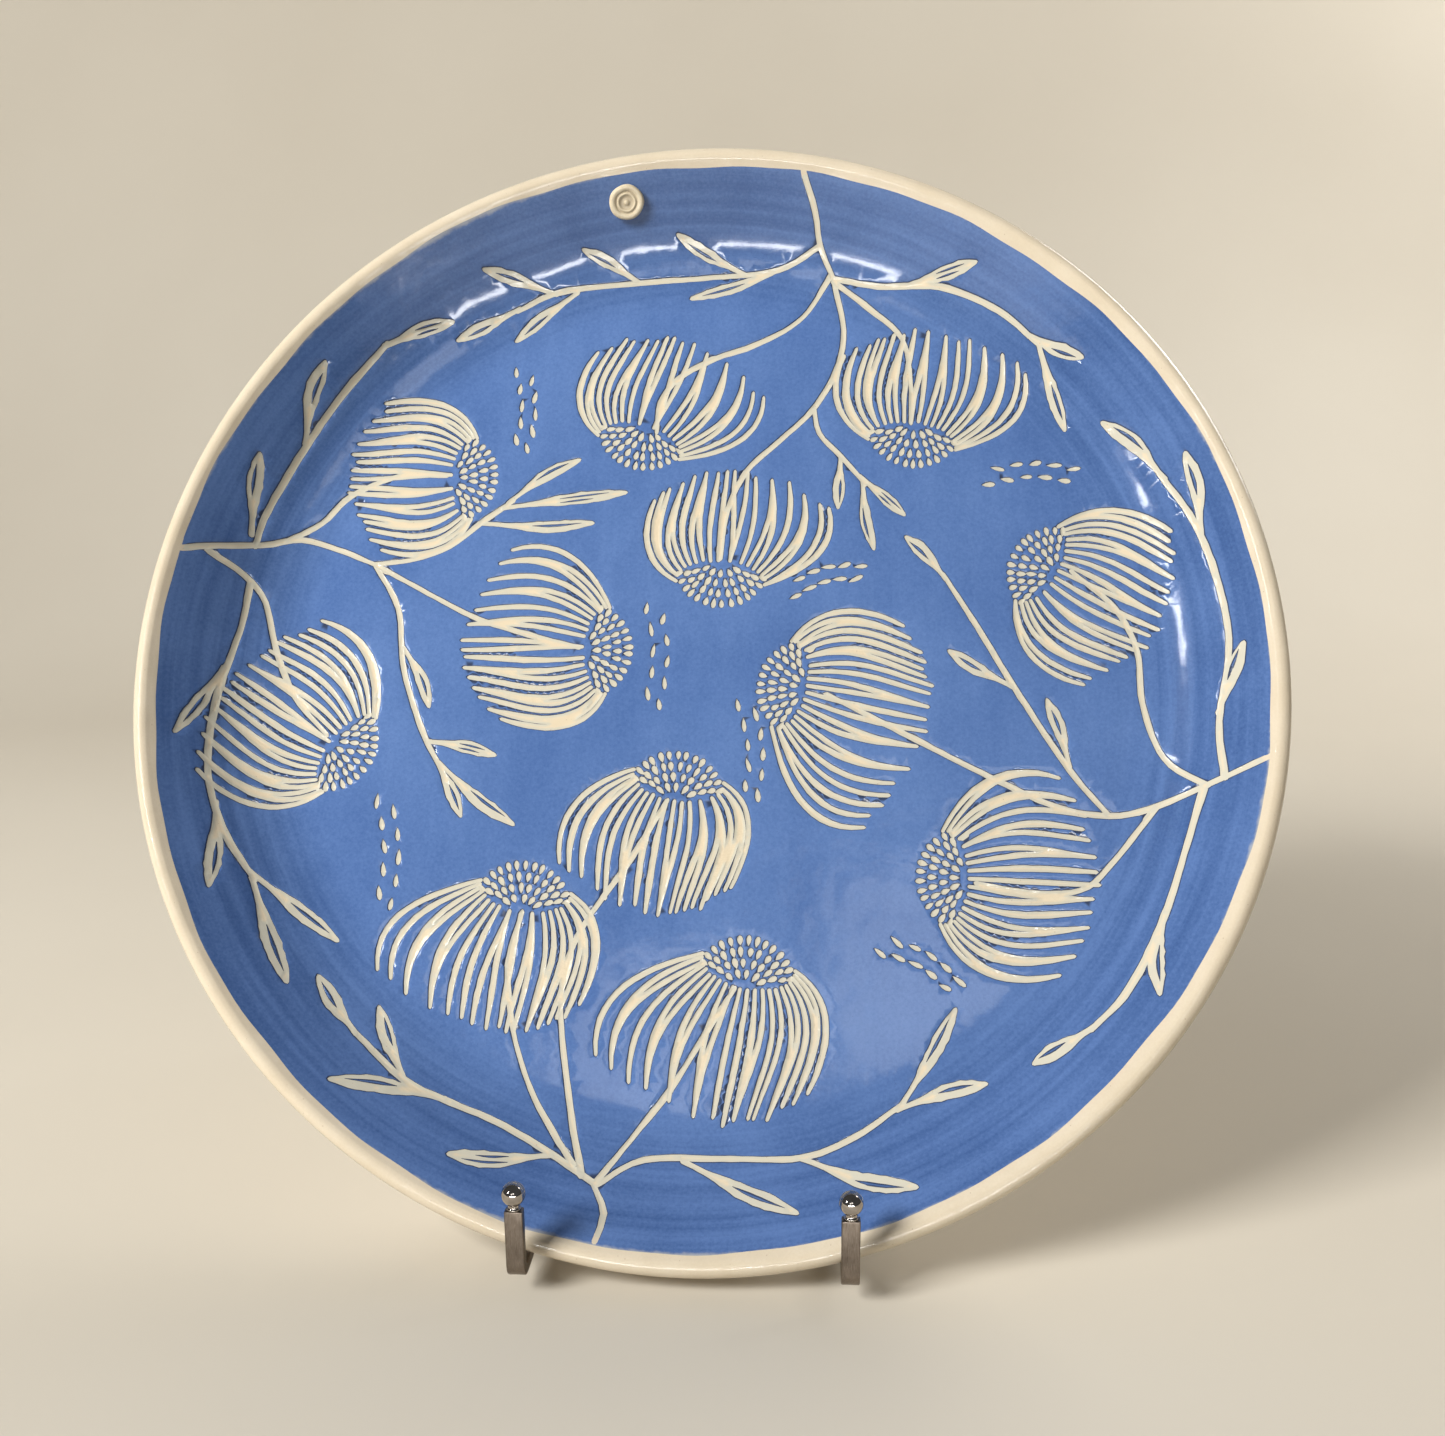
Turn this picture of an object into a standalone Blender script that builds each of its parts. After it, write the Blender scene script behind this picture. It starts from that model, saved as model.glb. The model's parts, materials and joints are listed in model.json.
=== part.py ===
"""A slip-painted ceramic plate standing on a folding display easel with two ball-tipped hooks.

Metres, +Z up, the face of the plate looks towards -Y. The origin is on the table, under the
middle of the bounding box. The easel's rear leg folds on a hinge, and the plate lifts off the
hooks along the front legs.
"""

from math import cos, pi, radians, sin, sqrt, tan

import bmesh
import bpy

MM = 0.001
GAP = 0.3 * MM  # daylight between neighbours that touch on the real object

# Plate, measured in its own frame: the foot ring stands on z = 0.
PLATE_R = 200 * MM
PLATE_SEGMENTS = 72
BODY_THICK = 7 * MM
FOOT_HEIGHT = 4 * MM
FOOT_OUTER_R = 125 * MM
FOOT_INNER_R = 117 * MM
FLOOR_R = 148 * MM  # the floor is flat out to here
BEND_R = 42 * MM  # radius of the curve from floor to wall
WALL_ANGLE = radians(40)
LIP_R = BODY_THICK / 2
ARC_STEPS = 8

# Painted slip and the maker's button of clay.
SLIP_THICK = 0.5 * MM
SLIP_EDGE_R = 193 * MM
SEAL_R = 6.7 * MM
SEAL_THICK = 2.2 * MM
SEAL_AT_R = 184.5 * MM
SEAL_TURN = radians(10)  # from the top of the plate towards its left

# Easel. "Slope" lengths run up the front legs from the table, "behind" lengths run off their front faces.
LEAN = radians(25)  # front legs, back from upright
REAR_LEAN = radians(12)  # rear leg, from upright
PLATE_CLEARANCE = 5 * MM  # table to the lowest point of the rim
LEG_WIDTH = 8 * MM
LEG_THICK = 4 * MM
LEG_LOW_SLOPE = 4.6 * MM
LEG_HIGH_SLOPE = 335 * MM
HOOK_X = 52 * MM  # half the distance between the hooks
LEG_TOP_X = 20 * MM
LEG_TOP_SLOPE = 325 * MM  # where the leg's centre line reaches LEG_TOP_X
STRIP_WIDTH = 5.8 * MM
STRIP_THICK = 3.5 * MM
HOOK_BEND_R = 2 * MM
HOOK_SPACE = 4 * MM  # rim to the inner face of the hook
HOOK_TOP_Z = 30.8 * MM
BALL_R = 3.8 * MM
NECK_R = 2 * MM
NECK_HEIGHT = 1.15 * MM
LOWER_BAR_SLOPE = 45 * MM
LOWER_BAR_HEIGHT = 8 * MM
UPPER_BAR_SLOPE = 324 * MM
UPPER_BAR_HEIGHT = 16 * MM

# Hinge of the rear leg.
HINGE_SLOPE = 322 * MM
HINGE_BEHIND = 12 * MM
BOLT_R = 2 * MM
BORE_R = BOLT_R + GAP
KNUCKLE_R = 4.8 * MM
KNUCKLE_HALF = 7.65 * MM
WASHER_R = 4.2 * MM
WASHER_THICK = 1 * MM
EAR_THICK = 2.5 * MM
EAR_R = 6 * MM
BOLT_HEAD_R = 4 * MM
BOLT_HEAD_THICK = 3 * MM
NUT_ACROSS_FLATS = 7 * MM
NUT_THICK = 3.2 * MM
HEEL_HALF_WIDTH = 6 * MM

# Rubber feet.
FOOT_WIDTH = 14 * MM
FOOT_DEPTH = 13 * MM
FOOT_TALL = 6.6 * MM

# Worked out from the sizes above.
FLOOR_Z = FOOT_HEIGHT + BODY_THICK
BEND_CENTRE = (FLOOR_R, FLOOR_Z + BEND_R)
LIP_CENTRE_R = PLATE_R - LIP_R
WALL_FOOT_R = FLOOR_R + BEND_R * sin(WALL_ANGLE)
WALL_FOOT_Z = BEND_CENTRE[1] - BEND_R * cos(WALL_ANGLE)
LIP_CENTRE_Z = (
    WALL_FOOT_Z
    + (LIP_CENTRE_R - LIP_R * sin(WALL_ANGLE) - WALL_FOOT_R) * tan(WALL_ANGLE)
    - LIP_R * cos(WALL_ANGLE)
)
RIM_T = GAP + LIP_CENTRE_Z  # rim, in front of the legs
PLATE_SLOPE = LIP_CENTRE_R + (PLATE_CLEARANCE + LIP_R - RIM_T * sin(LEAN)) / cos(LEAN)
LEG_SPREAD = (HOOK_X - LEG_TOP_X) / LEG_TOP_SLOPE


def slope_to_world(slope, front):
    """(y, z) of a point this far up the legs and this far in front of them, before centring."""
    return slope * sin(LEAN) - front * cos(LEAN), slope * cos(LEAN) + front * sin(LEAN)


def rim_slope(x):
    """How far up the slope the middle of the rolled lip is, at a distance x from the centre line."""
    return PLATE_SLOPE - sqrt(LIP_CENTRE_R**2 - x**2)


ARM_TOP_Z = slope_to_world(rim_slope(HOOK_X - STRIP_WIDTH / 2), RIM_T)[1] - LIP_R - GAP
HOOK_INNER_Y = slope_to_world(rim_slope(HOOK_X), RIM_T)[0] - LIP_R - HOOK_SPACE
HOOK_MIDDLE_Y = HOOK_INNER_Y - STRIP_THICK / 2
HINGE_Y, HINGE_Z = slope_to_world(HINGE_SLOPE, -HINGE_BEHIND)
LEG_END_Z = 2.5 * MM
REAR_LENGTH = (HINGE_Z - LEG_END_Z - LEG_THICK / 2 * sin(REAR_LEAN)) / cos(REAR_LEAN)
REAR_FOOT_Y = HINGE_Y + (HINGE_Z - FOOT_TALL / 2) * tan(REAR_LEAN)
FRONT_FOOT_Y = slope_to_world(FOOT_TALL / 2 / cos(LEAN), -LEG_THICK / 2)[0]
FRONT_FOOT_X = HOOK_X - LEG_SPREAD * FOOT_TALL / 2 / cos(LEAN)
MIDDLE_Y = (HOOK_MIDDLE_Y - BALL_R + REAR_FOOT_Y + FOOT_DEPTH / 2) / 2


def clear_scene():
    for obj in list(bpy.data.objects):
        bpy.data.objects.remove(obj, do_unlink=True)


def new_collection(name):
    collection = bpy.data.collections.new(name)
    bpy.context.scene.collection.children.link(collection)
    return collection


def new_material(name, colour, roughness, metallic=0.0, coat=0.0):
    made = bpy.data.materials.new(name)
    made.use_nodes = True
    shader = made.node_tree.nodes["Principled BSDF"]
    shader.inputs["Base Color"].default_value = (*colour, 1.0)
    shader.inputs["Roughness"].default_value = roughness
    shader.inputs["Metallic"].default_value = metallic
    shader.inputs["Coat Weight"].default_value = coat
    made.diffuse_color = (*colour, 1.0)
    return made


clear_scene()
PARTS = new_collection("plate_on_display_easel")
CUTTERS = new_collection("cutters")
CUTTERS.hide_render = True


def place(obj, parent, location=(0, 0, 0), rotation=(0, 0, 0)):
    obj.parent = parent
    obj.location = location
    obj.rotation_euler = rotation
    return obj


def new_empty(name, parent=None, location=(0, 0, 0), rotation=(0, 0, 0)):
    obj = bpy.data.objects.new(name, None)
    obj.empty_display_size = 0.03
    PARTS.objects.link(obj)
    return place(obj, parent, location, rotation)


def new_piece(name, data, material):
    """An object of the assembly with a material of its own."""
    obj = bpy.data.objects.new(name, data)
    colour, roughness, metallic, coat = material
    data.materials.append(new_material(name, colour, roughness, metallic, coat))
    PARTS.objects.link(obj)
    return obj


def mesh_from(name, bm):
    bmesh.ops.recalc_face_normals(bm, faces=bm.faces)
    mesh = bpy.data.meshes.new(name)
    bm.to_mesh(mesh)
    bm.free()
    return mesh


def box_mesh(name, width, depth, height):
    bm = bmesh.new()
    bmesh.ops.create_cube(bm, size=1.0)
    bmesh.ops.scale(bm, vec=(width, depth, height), verts=bm.verts)
    return mesh_from(name, bm)


def cylinder_mesh(name, radius, length, segments=24):
    bm = bmesh.new()
    bmesh.ops.create_cone(
        bm, cap_ends=True, segments=segments, radius1=radius, radius2=radius, depth=length
    )
    return mesh_from(name, bm)


def bevelled(obj, width, segments=2):
    bevel = obj.modifiers.new("edges", "BEVEL")
    bevel.width = width
    bevel.segments = segments
    bevel.limit_method = "ANGLE"
    bevel.angle_limit = radians(40)
    return obj


def bar(name, material, width, depth, height, edge=0.6 * MM):
    return bevelled(new_piece(name, box_mesh(name, width, depth, height), material), edge)


def turned(name, material, profile, steps):
    """A shape of revolution about Z. The profile runs down its outer side, from top to bottom."""
    mesh = bpy.data.meshes.new(name)
    edges = [(i, i + 1) for i in range(len(profile) - 1)]
    mesh.from_pydata([(r, 0, z) for r, z in profile], edges, [])
    obj = new_piece(name, mesh, material)
    screw = obj.modifiers.new("turn", "SCREW")
    screw.axis = "Z"
    screw.angle = 2 * pi
    screw.steps = screw.render_steps = steps
    screw.use_merge_vertices = True
    screw.merge_threshold = 0.00001
    return obj


def arc(centre, radius, start, end, steps):
    """Points of an arc in a plane, from one angle to the other, both ends included."""
    angles = [start + (end - start) * i / steps for i in range(steps + 1)]
    return [(centre[0] + radius * cos(a), centre[1] + radius * sin(a)) for a in angles]


def flat_shape(name, material, outlines, thickness):
    """A sheet with this outline, and holes where more outlines lie inside it. It is centred on z = 0."""
    curve = bpy.data.curves.new(name, "CURVE")
    curve.dimensions = "2D"
    curve.fill_mode = "BOTH"
    curve.extrude = thickness / 2
    for outline in outlines:
        spline = curve.splines.new("POLY")
        spline.points.add(len(outline) - 1)
        for point, (x, y) in zip(spline.points, outline):
            point.co = (x, y, 0, 1)
        spline.use_cyclic_u = True
    return new_piece(name, curve, material)


def circle(radius, steps, centre=(0, 0)):
    return arc(centre, radius, 0, 2 * pi * (steps - 1) / steps, steps - 1)


def boolean(obj, operation, other):
    step = obj.modifiers.new(other.name, "BOOLEAN")
    step.operation = operation
    step.solver = "EXACT"
    step.object = other


def cutter(name, mesh, parent, location, rotation=(0, 0, 0)):
    obj = bpy.data.objects.new(name, mesh)
    obj.display_type = "WIRE"
    obj.hide_render = True
    CUTTERS.objects.link(obj)
    return place(obj, parent, location, rotation)


# colour, roughness, metallic, coat
CREAM_CLAY = ((0.68, 0.58, 0.42), 0.25, 0.0, 0.6)
BLUE_SLIP = ((0.11, 0.20, 0.43), 0.22, 0.0, 0.8)
SEAL_CLAY = ((0.62, 0.50, 0.33), 0.3, 0.0, 0.5)
BRUSHED_NICKEL = ((0.56, 0.52, 0.47), 0.32, 1.0, 0.0)
BRIGHT_NICKEL = ((0.80, 0.79, 0.77), 0.08, 1.0, 0.0)
STEEL = ((0.5, 0.5, 0.5), 0.35, 1.0, 0.0)
DARK_RUBBER = ((0.03, 0.03, 0.03), 0.7, 0.0, 0.0)

assembly = new_empty("assembly_origin", location=(0, -MIDDLE_Y, 0))
slope_frame = new_empty("front_leg_slope", assembly, rotation=(pi / 2 - LEAN, 0, 0))
plate_seat = new_empty("plate_seat", slope_frame, location=(0, PLATE_SLOPE, GAP))
rear_pivot = new_empty(
    "rear_leg_pivot", assembly, location=(0, HINGE_Y, HINGE_Z), rotation=(REAR_LEAN, 0, 0)
)
ACROSS = (0, pi / 2, 0)  # turns a shape's own Z to the assembly's X
SIDEWAYS_OUTLINE = (pi / 2, 0, pi / 2)  # turns an outline's x, y to the world's Y, Z


def plate_wall_line(above):
    """(radius, height) pairs of the upper face from floor to the top of the wall, this far above the clay."""
    bend = arc(BEND_CENTRE, BEND_R - above, -pi / 2, WALL_ANGLE - pi / 2, ARC_STEPS)
    wall_r = SLIP_EDGE_R - above * sin(WALL_ANGLE)
    rise = (SLIP_EDGE_R - WALL_FOOT_R) * tan(WALL_ANGLE)
    return bend + [(wall_r, WALL_FOOT_Z + rise + above * cos(WALL_ANGLE))]


def build_clay_body():
    upper = [(0, FLOOR_Z), (FLOOR_R / 2, FLOOR_Z)] + plate_wall_line(0)
    lip = arc((LIP_CENTRE_R, LIP_CENTRE_Z), LIP_R, pi / 2 + WALL_ANGLE, WALL_ANGLE - pi / 2, 10)
    under = arc(BEND_CENTRE, BEND_R + BODY_THICK, WALL_ANGLE - pi / 2, -pi / 2, ARC_STEPS)
    edge = 1 * MM
    foot = [
        (FOOT_OUTER_R + edge, FOOT_HEIGHT),
        (FOOT_OUTER_R, FOOT_HEIGHT - edge),
        (FOOT_OUTER_R, edge),
        (FOOT_OUTER_R - edge, 0),
        (FOOT_INNER_R + edge, 0),
        (FOOT_INNER_R, edge),
        (FOOT_INNER_R, FOOT_HEIGHT),
    ]
    profile = upper + lip + under + foot + [(0, FOOT_HEIGHT)]
    place(turned("clay_body", CREAM_CLAY, profile, PLATE_SEGMENTS), plate_seat)


def build_slip_coat():
    top = [(0, FLOOR_Z + GAP + SLIP_THICK)] + plate_wall_line(GAP + SLIP_THICK)
    underside = [(0, FLOOR_Z + GAP)] + plate_wall_line(GAP)
    coat = turned("blue_slip_coat", BLUE_SLIP, top + underside[::-1], PLATE_SEGMENTS)
    place(coat, plate_seat)


def build_maker_seal():
    """A button with a rounded edge and a pressed ring, laid on the painted wall."""
    edge = arc((SEAL_R - SEAL_THICK / 2, 0), SEAL_THICK / 2, pi / 2, -pi / 2, 6)
    top = SEAL_THICK / 2
    ring = [
        (0, top),
        (3.0 * MM, top),
        (3.3 * MM, top - 0.5 * MM),
        (4.1 * MM, top - 0.5 * MM),
        (4.4 * MM, top),
    ]
    seal = turned("maker_seal", SEAL_CLAY, ring + edge + [(0, -top)], 36)
    above = GAP + SLIP_THICK + GAP + SEAL_THICK / 2
    wall_z = WALL_FOOT_Z + (SEAL_AT_R - WALL_FOOT_R) * tan(WALL_ANGLE)
    across = SEAL_AT_R - above * sin(WALL_ANGLE)
    turn = pi / 2 + SEAL_TURN
    spot = (across * cos(turn), across * sin(turn), wall_z + above * cos(WALL_ANGLE))
    place(seal, plate_seat, spot, (0, -WALL_ANGLE, turn))


def leg_centre_x(slope):
    return HOOK_X - LEG_SPREAD * slope


def leg_box(name, extra, make):
    """Centre and size of a front leg. extra widens it for the socket of its rubber foot."""
    low = LEG_LOW_SLOPE - extra
    length = (LEG_HIGH_SLOPE - low) * sqrt(1 + LEG_SPREAD**2)
    middle = (LEG_HIGH_SLOPE + low) / 2
    piece = make(name, LEG_WIDTH + 2 * extra, length, LEG_THICK + 2 * extra)
    return piece, (leg_centre_x(middle), middle, -LEG_THICK / 2)


def build_front_leg(side, sign):
    leg, (x, slope, front) = leg_box(
        f"{side}_leg_bar", 0, lambda name, *size: bar(name, BRUSHED_NICKEL, *size)
    )
    spread = (0, 0, sign * LEG_SPREAD)
    place(leg, slope_frame, (sign * x, slope, front), spread)
    mesh, (x, slope, front) = leg_box(f"{side}_front_socket", GAP, box_mesh)
    socket = cutter(f"{side}_front_socket", mesh, slope_frame, (sign * x, slope, front), spread)
    foot = bar(f"{side}_front_foot_cap", DARK_RUBBER, FOOT_WIDTH, FOOT_DEPTH, FOOT_TALL, 1 * MM)
    boolean(foot, "DIFFERENCE", socket)
    place(foot, assembly, (sign * FRONT_FOOT_X, FRONT_FOOT_Y, FOOT_TALL / 2))


def build_hook(side, sign):
    """A strip bent to an L: an arm under the rim and an upright in front of it, with a ball on top."""
    under_z = ARM_TOP_Z - STRIP_THICK
    outer_y = HOOK_INNER_Y - STRIP_THICK
    bend = (HOOK_INNER_Y + HOOK_BEND_R, ARM_TOP_Z + HOOK_BEND_R)
    # The arm's end is cut to the slope of the leg that it is brazed to.
    weld = GAP / cos(LEAN)
    outline = (
        [(under_z * tan(LEAN) - weld, under_z), (ARM_TOP_Z * tan(LEAN) - weld, ARM_TOP_Z)]
        + arc(bend, HOOK_BEND_R, -pi / 2, -pi, 6)
        + [(HOOK_INNER_Y, HOOK_TOP_Z), (outer_y, HOOK_TOP_Z)]
        + arc(bend, HOOK_BEND_R + STRIP_THICK, pi, 3 * pi / 2, 6)
    )
    hook = flat_shape(f"{side}_hook_bar", BRUSHED_NICKEL, [outline], STRIP_WIDTH)
    place(hook, assembly, (sign * HOOK_X, 0, 0), SIDEWAYS_OUTLINE)

    neck_angle = -pi / 2 + NECK_R / BALL_R
    centre_z = NECK_HEIGHT + BALL_R
    ball = arc((0, centre_z), BALL_R, pi / 2, neck_angle, 12)
    profile = ball + [(NECK_R, 0.5 * MM), (NECK_R + 0.3 * MM, 0), (0, 0)]
    tip = turned(f"{side}_ball_tip", BRIGHT_NICKEL, profile, 24)
    place(tip, assembly, (sign * HOOK_X, HOOK_MIDDLE_Y, HOOK_TOP_Z + GAP))


def build_cross_bar(name, slope, height):
    """A flat bar between the two front legs, with its ends cut to their slant."""
    low, high = slope - height / 2, slope + height / 2
    half_leg = LEG_WIDTH / 2 * sqrt(1 + LEG_SPREAD**2)
    x_low, x_high = (leg_centre_x(s) - half_leg - GAP for s in (low, high))
    outline = [(-x_low, low), (x_low, low), (x_high, high), (-x_high, high)]
    cross = flat_shape(name, BRUSHED_NICKEL, [outline], LEG_THICK)
    place(cross, slope_frame, (0, 0, -LEG_THICK / 2))


def build_hinge():
    """Two ears behind the upper cross bar, and the bolt that holds the rear leg between them."""
    ear_x = KNUCKLE_HALF + WASHER_THICK + 2 * GAP + EAR_THICK / 2
    washer_x = KNUCKLE_HALF + GAP + WASHER_THICK / 2
    root = LEG_THICK + GAP - HINGE_BEHIND  # from the bolt forwards to the cross bar
    outline = [(root, EAR_R)] + arc((0, 0), EAR_R, pi / 2, -pi / 2, 12) + [(root, -EAR_R)]
    hinge_at = (HINGE_SLOPE, -HINGE_BEHIND)
    for side, sign in (("left", -1), ("right", 1)):
        ear = flat_shape(f"{side}_hinge_ear", BRUSHED_NICKEL, [outline, circle(BORE_R, 16)], EAR_THICK)
        place(ear, slope_frame, (sign * ear_x, *hinge_at), ACROSS)
        rings = [circle(WASHER_R, 24), circle(BORE_R, 16)]
        washer = flat_shape(f"{side}_hinge_washer", STEEL, rings, WASHER_THICK)
        place(washer, slope_frame, (sign * washer_x, *hinge_at), ACROSS)

    face = ear_x + EAR_THICK / 2 + GAP
    tail = -(face + NUT_THICK + 1.5 * MM)  # the bolt's own Z runs towards its head, on the left
    dome = arc((0, 0), 1, pi / 2, 0, 6)
    head = [(BOLT_HEAD_R * x, face + BOLT_HEAD_THICK * y) for x, y in dome]
    shank = [(BOLT_R, face), (BOLT_R, tail + 0.4 * MM), (BOLT_R - 0.4 * MM, tail), (0, tail)]
    bolt = turned("hinge_bolt", STEEL, head + shank, 24)
    place(bolt, slope_frame, (0, *hinge_at), (0, -pi / 2, 0))
    rings = [circle(NUT_ACROSS_FLATS / 2 / cos(pi / 6), 6), circle(BORE_R, 16)]
    nut = flat_shape("hinge_nut", STEEL, rings, NUT_THICK)
    place(nut, slope_frame, (face + NUT_THICK / 2, *hinge_at), ACROSS)


def build_rear_leg():
    """A knuckle on the hinge bolt, with a heel that stops the leg when it is open, and the leg under it."""
    opening = LEAN + REAR_LEAN
    reach = HINGE_BEHIND - LEG_THICK - GAP - LEG_THICK / 2 * cos(opening)
    heel_top = reach / sin(opening)
    heel_mesh = box_mesh("heel_block", 2 * HEEL_HALF_WIDTH, LEG_THICK, heel_top)
    heel = cutter("heel_block", heel_mesh, rear_pivot, (0, 0, heel_top / 2))
    bore_mesh = cylinder_mesh("knuckle_bore", BORE_R, 4 * KNUCKLE_HALF, 16)
    bore = cutter("knuckle_bore", bore_mesh, rear_pivot, (0, 0, 0), ACROSS)
    barrel = cylinder_mesh("rear_leg_knuckle", KNUCKLE_R, 2 * KNUCKLE_HALF)
    knuckle = new_piece("rear_leg_knuckle", barrel, BRUSHED_NICKEL)
    place(knuckle, rear_pivot, (0, 0, 0), ACROSS)
    boolean(knuckle, "UNION", heel)
    boolean(knuckle, "DIFFERENCE", bore)

    top = KNUCKLE_R + GAP
    leg = bar("rear_leg_bar", BRUSHED_NICKEL, LEG_WIDTH, LEG_THICK, REAR_LENGTH - top)
    place(leg, rear_pivot, (0, 0, -(top + REAR_LENGTH) / 2))

    socket_mesh = box_mesh("rear_socket", LEG_WIDTH + 2 * GAP, LEG_THICK + 2 * GAP, REAR_LENGTH)
    socket = cutter("rear_socket", socket_mesh, rear_pivot, (0, 0, -REAR_LENGTH / 2 - GAP))
    foot = bar("rear_foot_cap", DARK_RUBBER, FOOT_WIDTH, FOOT_DEPTH, FOOT_TALL, 1 * MM)
    boolean(foot, "DIFFERENCE", socket)
    foot_offset = (REAR_FOOT_Y - HINGE_Y, FOOT_TALL / 2 - HINGE_Z)
    y = foot_offset[0] * cos(REAR_LEAN) + foot_offset[1] * sin(REAR_LEAN)
    z = -foot_offset[0] * sin(REAR_LEAN) + foot_offset[1] * cos(REAR_LEAN)
    place(foot, rear_pivot, (0, y, z), (-REAR_LEAN, 0, 0))


build_clay_body()
build_slip_coat()
build_maker_seal()
for side_name, side_sign in (("left", -1), ("right", 1)):
    build_front_leg(side_name, side_sign)
    build_hook(side_name, side_sign)
build_cross_bar("lower_cross_bar", LOWER_BAR_SLOPE, LOWER_BAR_HEIGHT)
build_cross_bar("upper_cross_bar", UPPER_BAR_SLOPE, UPPER_BAR_HEIGHT)
build_hinge()
build_rear_leg()
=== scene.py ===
# %% [markdown]
# # A carved slip plate on its folding stand
# A potter threw a wide plate in cream clay, painted its face with blue slip, and cut flowers
# and sprigs through the slip while it was leather hard. A clear glaze covers all of it. The
# plate leans on a small metal stand and shows its face between two hooks.
#
# The model of the solids is loaded first. It is the frame that all of this is built in, so
# every size and place below comes from it.

# %% Load the frame
import json
import math
import random

import bmesh
import bpy
import numpy as np
from mathutils import Matrix, Vector, kdtree
from mathutils.geometry import delaunay_2d_cdt


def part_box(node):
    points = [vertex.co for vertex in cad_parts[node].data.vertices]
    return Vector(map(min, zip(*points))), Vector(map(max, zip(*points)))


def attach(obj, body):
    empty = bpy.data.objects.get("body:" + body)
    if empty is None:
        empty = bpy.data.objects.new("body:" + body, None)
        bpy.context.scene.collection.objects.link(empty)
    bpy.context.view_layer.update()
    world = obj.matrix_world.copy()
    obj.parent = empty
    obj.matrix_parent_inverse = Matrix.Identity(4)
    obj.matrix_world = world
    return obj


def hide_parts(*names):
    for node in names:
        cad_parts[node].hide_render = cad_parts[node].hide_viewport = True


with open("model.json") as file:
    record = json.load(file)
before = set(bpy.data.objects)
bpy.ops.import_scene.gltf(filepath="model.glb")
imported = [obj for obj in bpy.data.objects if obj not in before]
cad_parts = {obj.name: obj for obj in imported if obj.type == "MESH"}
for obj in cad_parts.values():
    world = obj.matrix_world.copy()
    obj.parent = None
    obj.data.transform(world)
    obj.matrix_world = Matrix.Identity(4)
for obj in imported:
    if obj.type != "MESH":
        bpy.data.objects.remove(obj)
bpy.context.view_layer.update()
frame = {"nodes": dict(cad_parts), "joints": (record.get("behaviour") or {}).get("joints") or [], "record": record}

nodes = frame["nodes"]

# %% [markdown]
# ## The plate's own axes
# The plate leans back, but it is far easier to draw on when it lies flat. So it is drawn in
# millimetres on its own axes: x to the right, y up the plate, z out of its face. One matrix
# then lifts it into place. The joint that lifts the plate off gives the way up the plate, and
# the ring that it stands on gives the place.

# %% Find the plate's axes
joints = {joint["name"]: joint for joint in frame["joints"]}
mounts = {mount["name"]: mount for mount in frame["record"]["mounts"]}

across = Vector((1, 0, 0))
up_plate = Vector(joints["plate_lift_off"]["axis"]).normalized()
out_of_face = across.cross(up_plate)
seat = Vector(mounts["plate_foot_ring"]["pos_m"])
seat.x = 0

MM = 0.001
LEAN = math.acos(up_plate.z)
PLATE = Matrix((across, up_plate, out_of_face)).transposed().to_4x4()
PLATE = Matrix.Translation(seat) @ PLATE @ Matrix.Scale(MM, 4)
print("the plate leans back", round(math.degrees(LEAN), 1), "degrees")

# %% [markdown]
# ## The camera
# The camera stands a little right of the middle, above the plate's centre, and looks down on
# it by 12 degrees. A wide lens gives the near lower rim its slightly larger look. It is made
# first, because every look at a piece goes through it.

# %% Set up the camera
CAMERA_AT = (0.0412, -0.5263, 0.2737)
TURN, TILT, ROLL = (math.radians(angle) for angle in (3.87, 77.8, -0.51))

camera_data = bpy.data.cameras.new("camera")
camera_data.sensor_width = 36
camera_data.lens = 36.1
camera = bpy.data.objects.new("camera", camera_data)
camera.matrix_world = (
    Matrix.Translation(CAMERA_AT)
    @ Matrix.Rotation(TURN, 4, "Z")
    @ Matrix.Rotation(TILT, 4, "X")
    @ Matrix.Rotation(ROLL, 4, "Z")
)
scene = bpy.context.scene
scene.collection.objects.link(camera)
scene.camera = camera
scene.view_settings.view_transform = "Standard"
print("camera", round((camera.location - seat).length, 3), "m from the plate")

# %% [markdown]
# ## The plate's profile
# A thrown plate is one profile turned round: a flat floor, a soft bend, a wall that flares at
# 40 degrees and a round lip. Knowing the height of its face at any radius is enough to lay
# the drawing on it, so the profile is written as a small function. It also gives the slope,
# which keeps the reflections smooth later.

# %% Height and slope of the face
FLOOR_R, FLOOR_Z, BEND_R, THICK = 148, 11, 42, 7
WALL = math.radians(40)  # how steeply the wall flares
BEND_Z = FLOOR_Z + BEND_R
WALL_R = FLOOR_R + BEND_R * math.sin(WALL)
WALL_Z = BEND_Z - BEND_R * math.cos(WALL)
RIM_R, LIP_R = 200, THICK / 2
LIP_MIDDLE_R = RIM_R - LIP_R
LIP_MIDDLE_Z = WALL_Z + (LIP_MIDDLE_R - WALL_R) * math.tan(WALL) - LIP_R / math.cos(WALL)
FACE_R = LIP_MIDDLE_R - LIP_R * math.sin(WALL)  # here the face turns into the lip


def face_height(radius):
    bend = BEND_Z - np.sqrt(np.maximum(BEND_R**2 - np.clip(radius - FLOOR_R, 0, BEND_R) ** 2, 0))
    wall = WALL_Z + (radius - WALL_R) * math.tan(WALL)
    return np.where(radius < WALL_R, bend, wall)


def face_slope(radius):
    return np.arcsin(np.clip((radius - FLOOR_R) / BEND_R, 0, math.sin(WALL)))


print("face rises from", FLOOR_Z, "to", round(float(face_height(FACE_R)), 1), "mm")

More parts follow.
